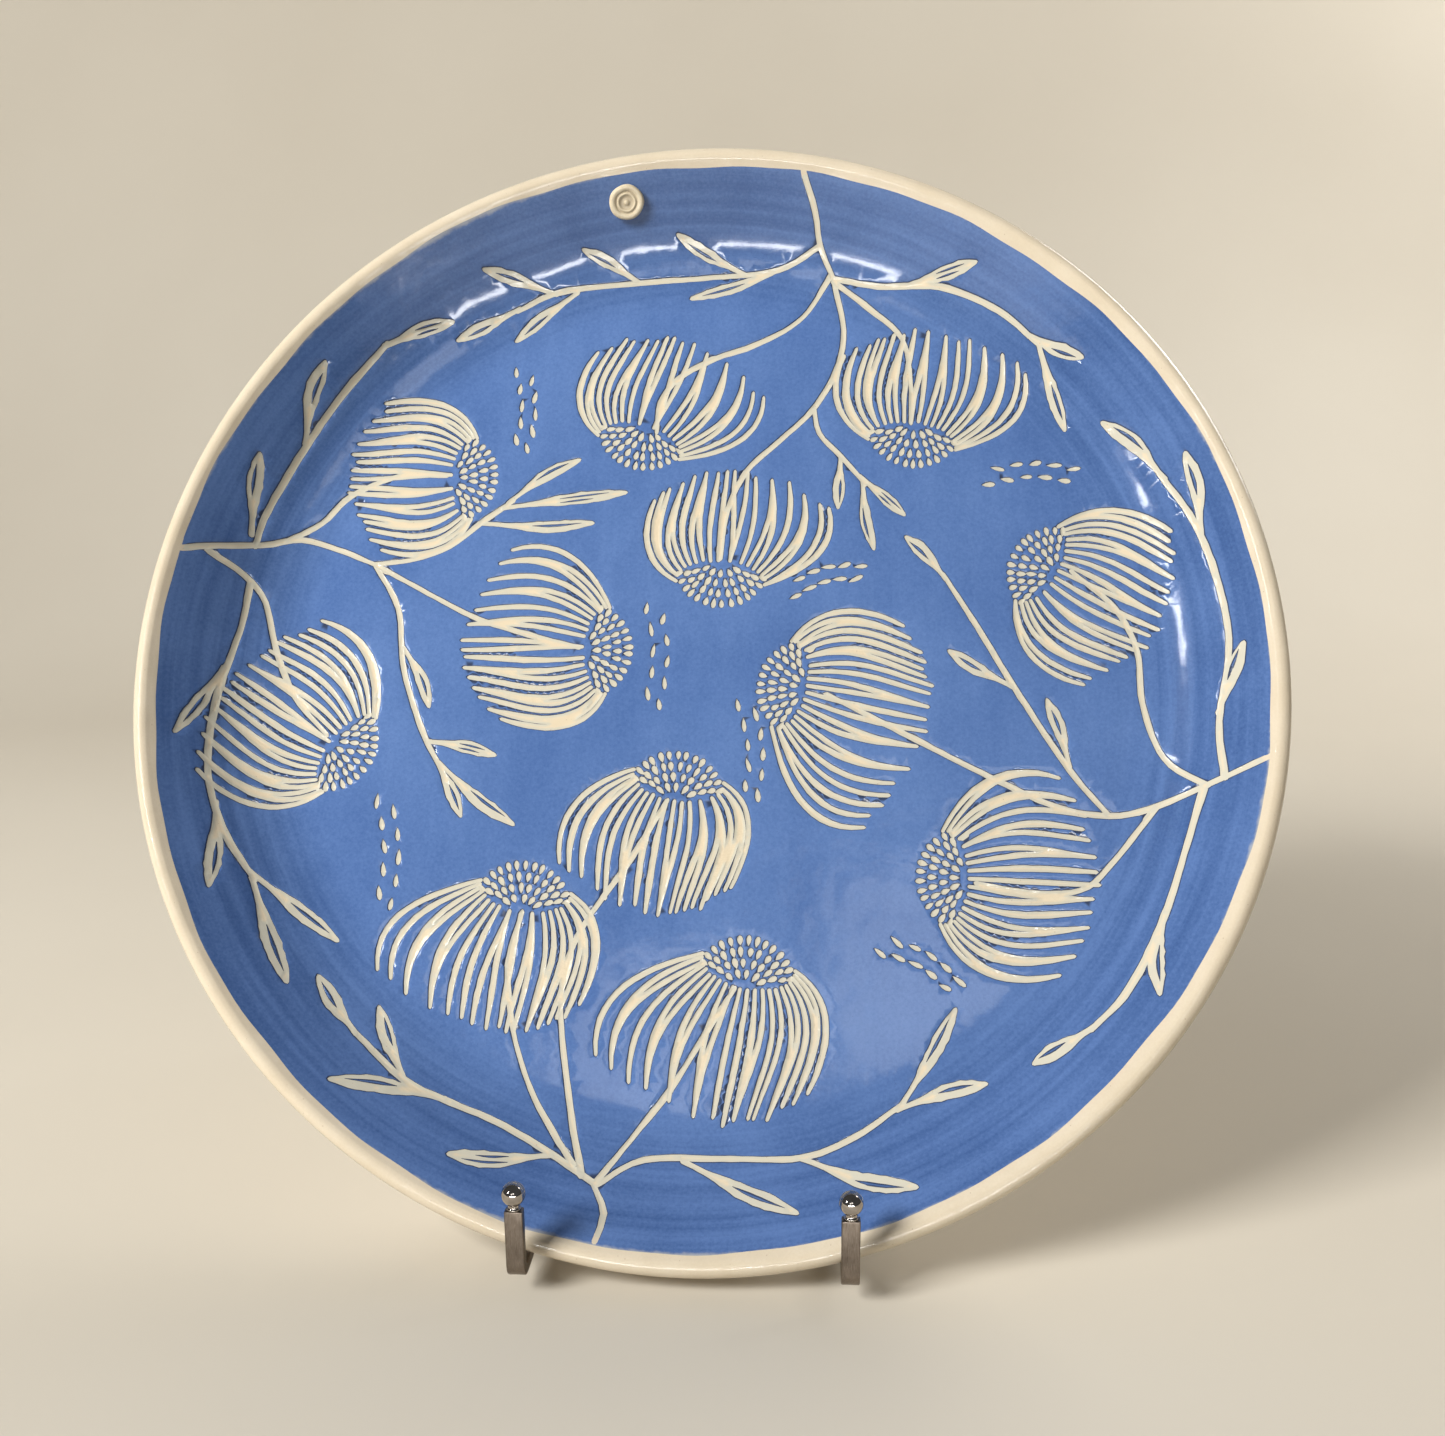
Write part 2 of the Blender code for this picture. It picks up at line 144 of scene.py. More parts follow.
# %% [markdown]
# ## The drawing
# The lines are pulled with a small loop tool. Each pull is a stroke: it goes in softly, gets
# wider in the middle and comes out at a point. So one function turns a centre line and a few
# widths into an outline, and everything else is made of strokes: stems, petals, buds, and the
# little ovals of the flower heads. Two lists hold the outlines: what is cut away, and the
# slivers of slip that are left standing inside a bud. Seeded chance keeps the hand in it and
# still gives the same plate each time.

# %% Strokes
hand = random.Random(7)
cut_away, left_standing, groove_points = [], [], []


def smooth_line(points, step=3.0):
    """A curve through a few chosen points, with a point about every step millimetres."""
    points = [Vector(point) for point in points]
    points = [2 * points[0] - points[1], *points, 2 * points[-1] - points[-2]]
    line = []
    for a, b, c, d in zip(points, points[1:], points[2:], points[3:]):
        count = max(1, round((c - b).length / step))
        for i in range(count):
            t = i / count
            line.append(
                (2 * b + (c - a) * t + (2 * a - 5 * b + 4 * c - d) * t**2 + (3 * b - 3 * c + d - a) * t**3)
                / 2
            )
    return line + [points[-2]]


def stroke(line, widths, into=cut_away, shake=0.05):
    """The outline of one pull along the line. The widths are spread evenly from start to end."""
    count = len(line)
    spread = np.linspace(0, 1, len(widths))
    left, right = [], []
    for i, point in enumerate(line):
        along = (line[min(i + 1, count - 1)] - line[max(i - 1, 0)]).normalized()
        side = Vector((-along.y, along.x))
        half = float(np.interp(i / (count - 1), spread, widths)) / 2
        left.append(point + side * half * (1 + hand.uniform(-shake, shake) * 2))
        right.append(point - side * half * (1 + hand.uniform(-shake, shake) * 2))
        if i == 0:
            start = [point - along * half, point + (side - along) * half * 0.7]
            first = point - (side + along) * half * 0.7
        if i == count - 1:
            end = [point + (side + along) * half * 0.7, point + along * half * 1.3]
            end.append(point + (along - side) * half * 0.7)
        if into is cut_away and half > 0.55 and 0 < i < count - 1:
            groove_points.append(point)
    into.append([first, *start, *left, *end, *reversed(right)])


stroke(smooth_line([(0, 0), (5, 3), (12, 4)]), [1, 2, 1])
print("a test stroke has", len(cut_away[0]), "outline points")
cut_away.clear()
groove_points.clear()

# %% [markdown]
# Buds sit at the ends of the sprigs: a thin stalk that swells to a pointed oval, with one or
# two slivers of blue left in it. A dash is the smallest mark, a single press of the tool.

# %% Buds, stems and dashes
def bud(root, tip, width=4.6, slivers=1):
    root, tip = Vector(root), Vector(tip)
    length = (tip - root).length
    along = (tip - root) / length
    side = Vector((-along.y, along.x))
    belly = root.lerp(tip, 0.55) + side * hand.uniform(-0.06, 0.06) * length
    line = smooth_line([root, belly, tip], 2)
    stroke(line, [1.7, 1.5, 1.9, width * 0.68, width * 0.92, width, width * 0.96, width * 0.74, 1.5])
    inside = [line[round(t * (len(line) - 1))] for t in (0.46, 0.6, 0.74, 0.88)]
    shift = 0 if slivers == 1 else width * 0.17
    for sign in (1,) if slivers == 1 else (1, -1):
        off = side * (sign * shift + hand.uniform(-0.15, 0.15) * width * (slivers == 1))
        points = [point + off for point in inside[: 4 if sign == 1 else 3]]
        wide = (1.25 if slivers == 1 else 0.8) * width / 4.6
        stroke(smooth_line(points, 2.4), [0.25, wide, wide * 0.9, 0.2], left_standing, 0)


def stem(points, width=1.9):
    count = max(3, len(points))
    widths = [width * hand.uniform(0.85, 1.2) for _ in range(count)]
    stroke(smooth_line(points, 3.2), [*widths, width * 0.8])


def press(at, direction, length, width):
    """A small drop shape: round at its far end, pointed at the near one."""
    along = Vector(direction).normalized()
    side = Vector((-along.y, along.x))
    upper = ((-0.2, 0.36), (0.15, 0.5), (0.42, 0.32))
    shape = ((-0.5, 0), *upper, (0.52, 0), *((a, -b) for a, b in reversed(upper)))
    cut_away.append([at + along * (a * length) + side * (b * width) for a, b in shape])
    groove_points.append(at + along * (0.1 * length))


def dashes(start, end, count=10, sway=3):
    """Two staggered rows of dashes, as a bee's path."""
    start, end = Vector(start), Vector(end)
    along = (end - start).normalized()
    side = Vector((-along.y, along.x))
    for i in range(count):
        t = i / (count - 1)
        row = 2.6 if i % 2 else -2.6
        at = start.lerp(end, t) + side * (row + sway * math.sin(3 * t))
        turn = along + side * hand.uniform(-0.25, 0.25)
        press(at, turn, hand.uniform(4.2, 5.6), hand.uniform(1.5, 2.0))


# %% [markdown]
# A flower is a head of small seeds with a cup of long petals. The seeds sit in curved rows and
# point away from the middle of the cup. The petals start along the top of the head. The outer
# ones leave it sideways and bend up and in again, which gives the cup its round shape. Once in
# every two to four petals, one runs into its neighbour, at its foot or at its tip.

# %% Flowers
SEED_ROWS = (  # half width and depth of the curve, its half angle in degrees, seeds
    (16, 15.2, 72, 14),
    (13.2, 11.2, 68, 11),
    (10.2, 7.3, 62, 8),
    (6.5, 3.6, 58, 5),
)


def flower(head, aim, reach, left, right, petals):
    """aim is in degrees, anticlockwise from up; reach and the sides are from the head's middle."""
    head = Vector(head)
    turn = math.radians(aim)
    up = Vector((-math.sin(turn), math.cos(turn)))
    side = Vector((up.y, -up.x))  # to the right, seen with the petals up

    def at(over, high):
        return head + side * over + up * high

    for wide, deep, spread, count in SEED_ROWS:
        for i in range(count):
            angle = math.radians(spread) * (2 * (i + hand.uniform(-0.12, 0.12)) / (count - 1) - 1)
            over, high = wide * math.sin(angle), 9 - deep * math.cos(angle)
            outwards = side * over + up * (high - 11)
            press(at(over, high), outwards, hand.uniform(3.0, 3.8), hand.uniform(1.7, 2.1))

    feet, tips = [], []
    for i in range(petals):
        t = 2 * i / (petals - 1) - 1
        angle = math.radians(96) * t
        feet.append([16.3 * math.sin(angle), 2.2 + 8.3 * math.cos(angle) + hand.uniform(-0.4, 0.4)])
        wide = right if t > 0 else left
        tip_over = 0.92 * wide * t + hand.uniform(-0.5, 0.5)
        tips.append([tip_over, reach * (1 - 0.27 * t * t) + hand.uniform(-1.4, 1.4)])
    i = hand.randrange(2)
    while i < petals - 1:  # some neighbours run together
        ends = hand.choice((feet, tips, tips))
        middle = [(a + b) / 2 for a, b in zip(ends[i], ends[i + 1])]
        ends[i], ends[i + 1] = [list(middle), list(middle)]
        i += hand.choice((2, 3, 4))
    for i in range(petals):
        t = 2 * i / (petals - 1) - 1
        foot, tip = Vector(feet[i]), Vector(tips[i])
        hold = 0.42 * (tip - foot).length
        leave, arrive = math.radians(66) * t, -math.radians(17) * t
        bow_1 = foot + hold * Vector((math.sin(leave), math.cos(leave)))
        bow_2 = tip - hold * Vector((math.sin(arrive), math.cos(arrive)))
        line = []
        for k in range(15):
            s = k / 14
            spot = (1 - s) ** 3 * foot + 3 * s * (1 - s) ** 2 * bow_1
            spot = spot + 3 * s * s * (1 - s) * bow_2 + s**3 * tip
            line.append(at(spot.x, spot.y))
        fat = hand.uniform(1.75, 2.35)
        stroke(line, [1.3, 1.6, fat * hand.uniform(0.85, 1), fat, fat, fat * 0.9, 1.2])


# Twelve flowers: the middle of the head, the way the petals point, their reach, and how far
# the cup goes to its left and right.
FLOWERS = (
    ((-27, 89), -18, 46, 30, 42),
    ((75, 89), -8, 46, 32, 41),
    ((5, 35), -4, 45, 30, 41),
    ((-87, 78), 90, 48, 31, 32),
    ((-34, 11), 90, 54, 28, 42),
    ((-127, -29), 58, 52, 36, 40),
    ((118, 45), -120, 50, 34, 34),
    ((27, -1), -102, 54, 33, 48),
    ((83, -70), -92, 54, 42, 36),
    ((-8, -34), 172, 50, 27, 40),
    ((-61, -74), 172, 51, 30, 50),
    ((18, -99), 170, 55, 30, 50),
)
for number, (head, aim, reach, left, right) in enumerate(FLOWERS):
    flower(head, aim, reach, left, right, 20 + (reach + left + right > 118) + number % 2)
print(len(FLOWERS), "flowers,", len(cut_away), "cuts")

# %% [markdown]
# Four sprays grow in from the rim, at the top, the left, the right and the bottom. Each is a
# short trunk that forks: some branches run into a flower, the rest end in buds. The stems are
# curves through a few points on the plate, in millimetres from its centre.

# %% Four sprays
STEMS = (
    # top
    ((34.6, 189.4), (39, 178), (41, 168), (46, 157)),
    ((41, 168), (25, 161), (0, 159), (-28, 157), (-58, 153), (-75, 145)),
    ((46, 157), (63, 153), (86, 150), (107, 139), (121, 126)),
    ((45, 158), (33, 141), (16, 131), (2, 126), (-12, 118), (-19, 108), (-20, 96)),
    ((46, 156), (60, 145), (72, 133), (75, 115), (75, 99)),
    ((46, 157), (50, 137), (47, 120), (38, 104), (25, 91), (14, 80), (7, 64), (5, 46)),
    ((39, 105), (41, 95), (49, 86), (58, 75)),
    # left
    ((-187.8, 42.2), (-180, 45), (-165, 49), (-152, 53), (-139, 50), (-124, 44)),
    ((-167, 48), (-163, 62), (-152, 85), (-138, 108), (-122, 128)),
    ((-157, 52), (-145, 60), (-135, 71), (-117, 79), (-99, 79)),
    ((-124, 44), (-109, 46), (-96, 51), (-85, 60), (-73, 69)),
    ((-124, 44), (-98, 30), (-84, 23), (-65, 17), (-46, 12)),
    ((-124, 44), (-114, 27), (-110, 3), (-101, -21), (-94, -33)),
    ((-180, 43), (-170, 37), (-163, 28), (-158, 10), (-150, -7), (-137, -21)),
    ((-168, 35), (-170, 18), (-175, -8), (-175, -35), (-168, -57), (-156, -75)),
    # right
    (
        (189.7, -31.8), (180, -36), (168, -41), (155, -46), (142, -48), (124, -45),
        (96, -32), (73, -20), (44, -5),
    ),
    ((178, -37), (178, -17), (182, 8), (180, 30), (173, 54), (162, 74)),
    ((173, -39), (161, -28), (155, -8), (154, 11), (147, 27), (132, 41)),
    ((142, -48), (129, -32), (111, -3), (98, 20), (86, 40)),
    ((158, -45), (141, -66), (131, -74), (114, -75), (96, -72)),
    ((172, -40), (158, -80), (144, -107), (131, -121)),
    # bottom
    ((-28.7, -189.8), (-27, -182), (-32, -173)),
    ((-32, -173), (-50, -163), (-66, -155), (-82, -149), (-98, -142), (-117, -126)),
    ((-39, -168), (-47, -158), (-56, -144), (-63, -125), (-66, -103), (-62, -84)),
    ((-36, -171), (-42, -150), (-47, -114), (-42, -92), (-25, -66), (-12, -44)),
    ((-31, -173), (-18, -156), (-8, -143), (3, -125), (13, -109)),
    ((-31, -174), (-16, -166), (10, -165), (36, -164), (54, -157), (70, -146)),
)
BUDS = (
    # root, tip, width, slivers
    ((12, 160), (-13, 173), 4.4, 1), ((-28, 157), (-49, 167), 4.2, 1), ((-60, 152), (-86, 157), 4.4, 1),
    ((-74, 146), (-97, 133), 4.6, 1), ((-52, 153), (-75, 134), 4.6, 1), ((28, 162), (-8, 151), 4.2, 1),
    ((72, 152), (98, 155), 4.6, 2), ((118, 129), (136, 118), 4.2, 1), ((121, 127), (131, 95), 4.4, 1),
    ((49, 86), (48, 66), 4.4, 1), ((57, 77), (61, 50), 4.2, 1), ((56, 78), (72, 63), 4.4, 2),
    ((-123, 127), (-99, 139), 4.6, 2), ((-168, 52), (-165, 81), 4.6, 1), ((-151, 88), (-143, 117), 4.8, 1),
    ((-75, 68), (-49, 85), 4.6, 1), ((-77, 66), (-31, 72), 4.6, 2), ((-84, 60), (-43, 60), 4.4, 1),
    ((-111, 12), (-100, -10), 4.6, 1), ((-100, -23), (-75, -28), 4.6, 2), ((-96, -30), (-86, -50), 4.6, 1),
    ((-95, -31), (-67, -53), 4.8, 1), ((-174, 2), (-185, -24), 4.4, 1), ((-171, -48), (-168, -78), 4.8, 1),
    ((-158, -72), (-127, -95), 5.0, 1), ((-157, -74), (-140, -110), 5.0, 1), ((164, 71), (144, 95), 4.6, 1),
    ((175, 49), (170, 78), 4.6, 1), ((178, -14), (186, 9), 4.6, 1), ((87, 38), (73, 54), 5.0, 1),
    ((110, -2), (88, 11), 5.0, 1), ((129, -31), (122, -7), 4.8, 1), ((132, -120), (113, -132), 5.0, 1),
    ((157, -82), (152, -109), 4.8, 1), ((-116, -127), (-131, -108), 5.0, 1),
    ((-98, -142), (-110, -118), 5.0, 1),
    ((-84, -148), (-120, -142), 5.0, 1), ((-46, -165), (-79, -165), 5.0, 2), ((70, -146), (88, -115), 5.0, 1),
    ((68, -148), (97, -139), 5.0, 1), ((36, -164), (73, -171), 5.0, 1), ((-3, -166), (35, -180), 5.0, 1),
)
for points in STEMS:
    stem(points)
for root, tip, width, slivers in BUDS:
    bud(root, tip, width, slivers)
for start, end in (
    ((-72, 121), (-72, 90)), ((-19, 27), (-19, -9)), ((15, -9), (17, -42)), ((-114, -45), (-112, -82)),
    ((103, 77), (134, 77)), ((32, 34), (57, 40)), ((64, -94), (88, -108)),
):
    dashes(start, end)
print(len(cut_away), "cuts and", len(left_standing), "slivers left standing")

# %% [markdown]
# ## From outlines to a surface
# The outlines have to become a surface with true edges along every cut. Cutting hundreds of
# shapes out of a disc one by one with Booleans is slow and often breaks where strokes cross.
# Blender's own triangulation takes all the outlines at once, crosses them where they meet, and
# says for each triangle which outlines it lies in. A few more points go in with them: a
# row just outside each cut, where the slip reaches its full thickness, the bottoms of
# the grooves, and a loose grid that lets the face follow the bend.

# %% Lay out the points
TURNS = 288  # points round the plate
BEVEL = 0.38  # how far a cut edge slopes
BRUSH_END = 1.1  # how far the slip thins out at its rim
GRID, ROW_GAP = 4.4, 0.866  # rows of a grid of even triangles


def slip_edge(angle):
    """The brush stopped a little short of the lip, never at quite the same radius."""
    wave = 0.45 * np.sin(3 * angle + 1) + 0.3 * np.sin(8 * angle + 4) + 0.22 * np.sin(19 * angle)
    return 192.7 + wave + 0.15 * np.sin(41 * angle + 2)


def ring(radius):
    """Points round the plate, where radius gives the radius at each angle."""
    turns = [(a, float(radius(a))) for a in (2 * math.pi * i / TURNS for i in range(TURNS))]
    return [Vector((r * math.cos(a), r * math.sin(a))) for a, r in turns]


def beside(outline, distance):
    """Points just outside an outline."""
    found = []
    for before, here, after in zip(outline[-1:] + outline[:-1], outline, outline[1:] + outline[:1]):
        along = (after - before).normalized()
        found.append(here + Vector((along.y, -along.x)) * distance)
    return found


def area(outline):
    return sum(a.cross(b) for a, b in zip(outline, outline[1:] + outline[:1])) / 2


cut_away = [o if area(o) > 0 else o[::-1] for o in cut_away]
left_standing = [o if area(o) > 0 else o[::-1] for o in left_standing]
slip_border = ring(slip_edge)
face_border = ring(lambda a: FACE_R)
loops = [face_border, slip_border, *cut_away, *left_standing]
spare = [p for outline in cut_away for p in beside(outline, BEVEL)]
spare += [p for outline in left_standing for p in beside(outline[::-1], 0.3)]
spare += ring(lambda a: slip_edge(a) - BRUSH_END)
for row in range(-50, 51):
    for column in range(-46, 47):
        spot = Vector(((column + row % 2 / 2) * GRID, row * GRID * ROW_GAP))
        spot += Vector((hand.uniform(-0.4, 0.4), hand.uniform(-0.4, 0.4)))
        if spot.length < 190:
            spare.append(spot)
print(len(loops), "outlines and", len(spare), "spare points")

# %% [markdown]
# A spare point that falls too near an edge would make thin splinters, so those are dropped. A
# tree of points along the edges answers how near the closest edge is. The first
# triangulation shows which bits of slip are so narrow that they run straight from edge to
# edge, and which slopes run too far in. The narrow bits get a ridge point in the middle and
# the long slopes get a shoulder. New points make a few new narrow bits, so the ridges take
# some rounds, and the last triangulation is kept.

# %% Triangulate
def edge_tree(pairs, spacing=0.12):
    dots = []
    for a, b in pairs:
        count = max(1, int((b - a).length / spacing))
        dots += [a.lerp(b, i / count) for i in range(count + 1)]
    tree = kdtree.KDTree(len(dots))
    for i, dot in enumerate(dots):
        tree.insert((dot.x, dot.y, 0), i)
    tree.balance()
    return tree


def distance(tree, point):
    return tree.find((point[0], point[1], 0))[2]


def triangulate(extra):
    """Points and triangles of the face, and which triangles still have their slip."""
    points, faces = [], []
    for outline in loops:
        faces.append(list(range(len(points), len(points) + len(outline))))
        points += outline
    points, edges, triangles, _, _, inside = delaunay_2d_cdt(points + extra, [], faces, 0, 1e-4)
    first_sliver = 2 + len(cut_away)
    slip, kept = [], []
    for triangle, owners in zip(triangles, inside):
        if 0 not in owners:
            continue
        cut = any(1 < owner < first_sliver for owner in owners)
        left = any(owner >= first_sliver for owner in owners)
        kept.append(triangle)
        slip.append(1 in owners and (left or not cut))
    return np.array([(p.x, p.y) for p in points]), np.array(kept), np.array(slip)


def edges_of(triangles):
    """Each edge once, and the triangles on its two sides; -1 where there is none."""
    ends = np.sort(np.concatenate([triangles[:, [0, 1]], triangles[:, [1, 2]], triangles[:, [2, 0]]]), axis=1)
    owner = np.tile(np.arange(len(triangles)), 3)
    edges, index = np.unique(ends, axis=0, return_inverse=True)
    index = index.reshape(-1)
    sides = np.full((len(edges), 2), -1)
    order = np.argsort(index, kind="stable")
    first = np.concatenate([[True], np.diff(index[order]) > 0])
    sides[index[order[first]], 0] = owner[order[first]]
    sides[index[order[~first]], 1] = owner[order[~first]]
    return edges, sides


def cut_edges(points, triangles, slip):
    """The edges, which of their sides have slip, the cut ones among them, and the points on a cut."""
    edges, sides = edges_of(triangles)
    standing = np.where(sides < 0, False, slip[sides])
    is_cut = standing[:, 0] != standing[:, 1]
    on_cut = np.zeros(len(points), bool)
    on_cut[edges[is_cut]] = True
    return edges, standing, is_cut, on_cut


def distance_to_cut(points, edges, is_cut, on_cut):
    tree = edge_tree([(Vector(points[a]), Vector(points[b])) for a, b in edges[is_cut]])
    return np.array([0 if cut else distance(tree, p) for p, cut in zip(points, on_cut)])


def narrow_middles(points, edges, standing, on_cut, shortest):
    """The middles of the edges that cross a narrow bit of slip from cut to cut."""
    crossing = edges[standing.all(axis=1) & on_cut[edges].all(axis=1)]
    long = np.linalg.norm(points[crossing[:, 0]] - points[crossing[:, 1]], axis=1) > shortest
    return [Vector(p) for p in points[crossing[long]].mean(axis=1)]


outline_tree = edge_tree([(a, b) for o in loops[1:] for a, b in zip(o, o[1:] + o[:1])], 0.2)
spare = [p for p in spare if distance(outline_tree, p) > BEVEL * 0.8]
grooves = [p for p in groove_points if distance(outline_tree, p) > 0.35]
points, triangles, slip = triangulate(spare + grooves)
edges, standing, is_cut, on_cut = cut_edges(points, triangles, slip)
to_cut = distance_to_cut(points, edges, is_cut, on_cut)
ridges = narrow_middles(points, edges, standing, on_cut, 0.2)
sloping = edges[standing.all(axis=1) & (on_cut[edges].sum(axis=1) == 1)]
sloping = np.where(on_cut[sloping[:, :1]], sloping, sloping[:, ::-1])
sloping = sloping[to_cut[sloping[:, 1]] > 1.5 * BEVEL]
foot, far = points[sloping[:, 0]], points[sloping[:, 1]]
shoulders = foot + (far - foot) * (1.05 * BEVEL / to_cut[sloping[:, 1]])[:, None]
ridges += [Vector(p) for p in shoulders]

for _ in range(2):
    points, triangles, slip = triangulate(spare + grooves + ridges)
    edges, standing, is_cut, on_cut = cut_edges(points, triangles, slip)
    more = narrow_middles(points, edges, standing, on_cut, 0.003)
    print("bits of slip with no ridge yet:", len(more))
    ridges += more
points, triangles, slip = triangulate(spare + grooves + ridges)
edges, standing, is_cut, on_cut = cut_edges(points, triangles, slip)
to_cut = distance_to_cut(points, edges, is_cut, on_cut)
print(len(triangles), "triangles,", int(slip.sum()), "of them slip,", len(ridges), "ridges")

# %% [markdown]
# ## Lifting the face
# Now each flat point gets its height. Slip stands nearly half a millimetre above the clay and
# slopes down to it along each cut, with a soft end at the rim where the brush left off. The
# clay is pressed down a little along the middle of each line, as a round tool leaves it. The
# whole rim also strays by up to about a millimetre, as a thrown rim does.

# %% Heights and smooth normals
SLIP_THICK, SLIP_DIP, LINE_DEPTH = 0.48, 0.03, 0.3
RELIEF_R = 191  # beyond this the rim is plain


def thrown(flat, height):
    """Points on the plate as it came off the wheel: always a little inside the true circle."""
    radius, angle = np.hypot(flat[:, 0], flat[:, 1]), np.arctan2(flat[:, 1], flat[:, 0])
    far = np.clip(radius / RIM_R, 0, 1) ** 6
    pull = 1 - 0.0022 * far * (1 + np.sin(2 * angle + 0.6)) - 0.0008 * far * (1 + np.sin(5 * angle))
    drop = 0.35 * far * (1 + np.sin(3 * angle + 2))
    return np.column_stack([flat * pull[:, None], height - drop])


def face_normals(flat, lifted, faces):
    """The profile's own normals, tilted by the relief alone, so that the bend reflects cleanly."""
    radius = np.hypot(flat[:, 0], flat[:, 1])
    slope = face_slope(radius)
    outward = flat / np.maximum(radius, 1e-6)[:, None]
    plain = np.column_stack([-outward * np.sin(slope)[:, None], np.cos(slope)])

    def averaged(height):
        solid = np.column_stack([flat, height])
        a, b, c = (solid[faces[:, k]] for k in range(3))
        normal = np.cross(b - a, c - a)
        total = np.zeros_like(solid)
        for k in range(3):
            np.add.at(total, faces[:, k], normal)
        return total / np.maximum(np.linalg.norm(total, axis=1), 1e-9)[:, None]

    base = face_height(radius)
    near_rim = np.clip((RELIEF_R - radius) / 2, 0, 1)[:, None]
    tilted = plain + (averaged(base + lifted) - averaged(base)) * near_rim
    return tilted / np.linalg.norm(tilted, axis=1)[:, None]


radius = np.hypot(points[:, 0], points[:, 1])
angle = np.arctan2(points[:, 1], points[:, 0])
rise = np.clip(to_cut / BEVEL, 0, 1)
rise *= np.clip((slip_edge(angle) - radius) / BRUSH_END, 0, 1) ** 0.5
slip_lift = -SLIP_DIP + SLIP_THICK * np.sin(rise * math.pi / 2)
in_line = np.ones(len(points), bool)
in_line[triangles[slip]] = False
in_line &= radius < RELIEF_R + 0.5
press_in = np.where(in_line, -LINE_DEPTH * np.sin(np.clip(to_cut / 1.1, 0, 1) * math.pi / 2), 0)
print("deepest line", round(float(-press_in.min()), 2), "mm under the clay's face")

# %% [markdown]
# ### Helpers for the pieces
# Every piece ends in the same way: its bmesh is put where it belongs, made into an
# object at the origin, and told which body it rides on and which finish it has, and the
# solid that it stands for is hidden. One helper does that.

# %% Make a piece
def finish_piece(name, mesh_data, body, material, replaced, place):
    mesh_data.transform(place)
    mesh = bpy.data.meshes.new(name)
    mesh_data.to_mesh(mesh)
    mesh_data.free()
    mesh.materials.append(material)
    mesh.polygons.foreach_set("use_smooth", [True] * len(mesh.polygons))
    piece = bpy.data.objects.new(name, mesh)
    scene.collection.objects.link(piece)
    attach(piece, body)
    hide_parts(*replaced)
    print(name, len(mesh.polygons), "faces")
    return piece


def spun(profile, steps):
    """A profile of (radius, height) turned once round z."""
    bm = bmesh.new()
    verts = [bm.verts.new((r, 0, z)) for r, z in profile]
    chain = [bm.edges.new(pair) for pair in zip(verts, verts[1:])]
    bmesh.ops.spin(
        bm, geom=verts + chain, cent=(0, 0, 0), axis=(0, 0, 1), dvec=(0, 0, 0),
        angle=2 * math.pi, steps=steps, use_merge=True, use_duplicate=False,
    )
    bmesh.ops.remove_doubles(bm, verts=bm.verts, dist=1e-3)
    bmesh.ops.recalc_face_normals(bm, faces=bm.faces)
    return bm


def arc(middle, radius, start, end, steps):
    """Points of an arc, from and to angles in degrees."""
    angles = [math.radians(start + (end - start) * i / steps) for i in range(steps + 1)]
    return [(middle[0] + radius * math.cos(a), middle[1] + radius * math.sin(a)) for a in angles]


def share(mesh, name, values):
    """Give every vertex of a mesh a number that its material can read."""
    mesh.attributes.new(name, "FLOAT", "POINT").data.foreach_set("value", values)


# %% [markdown]
# ## Shader sums
# A finish is mostly arithmetic on patterns: a mask here, one minus that mask there. The
# class below wraps a node's output, so that a sum written in Python becomes Math nodes, and
# its add method makes any other node.

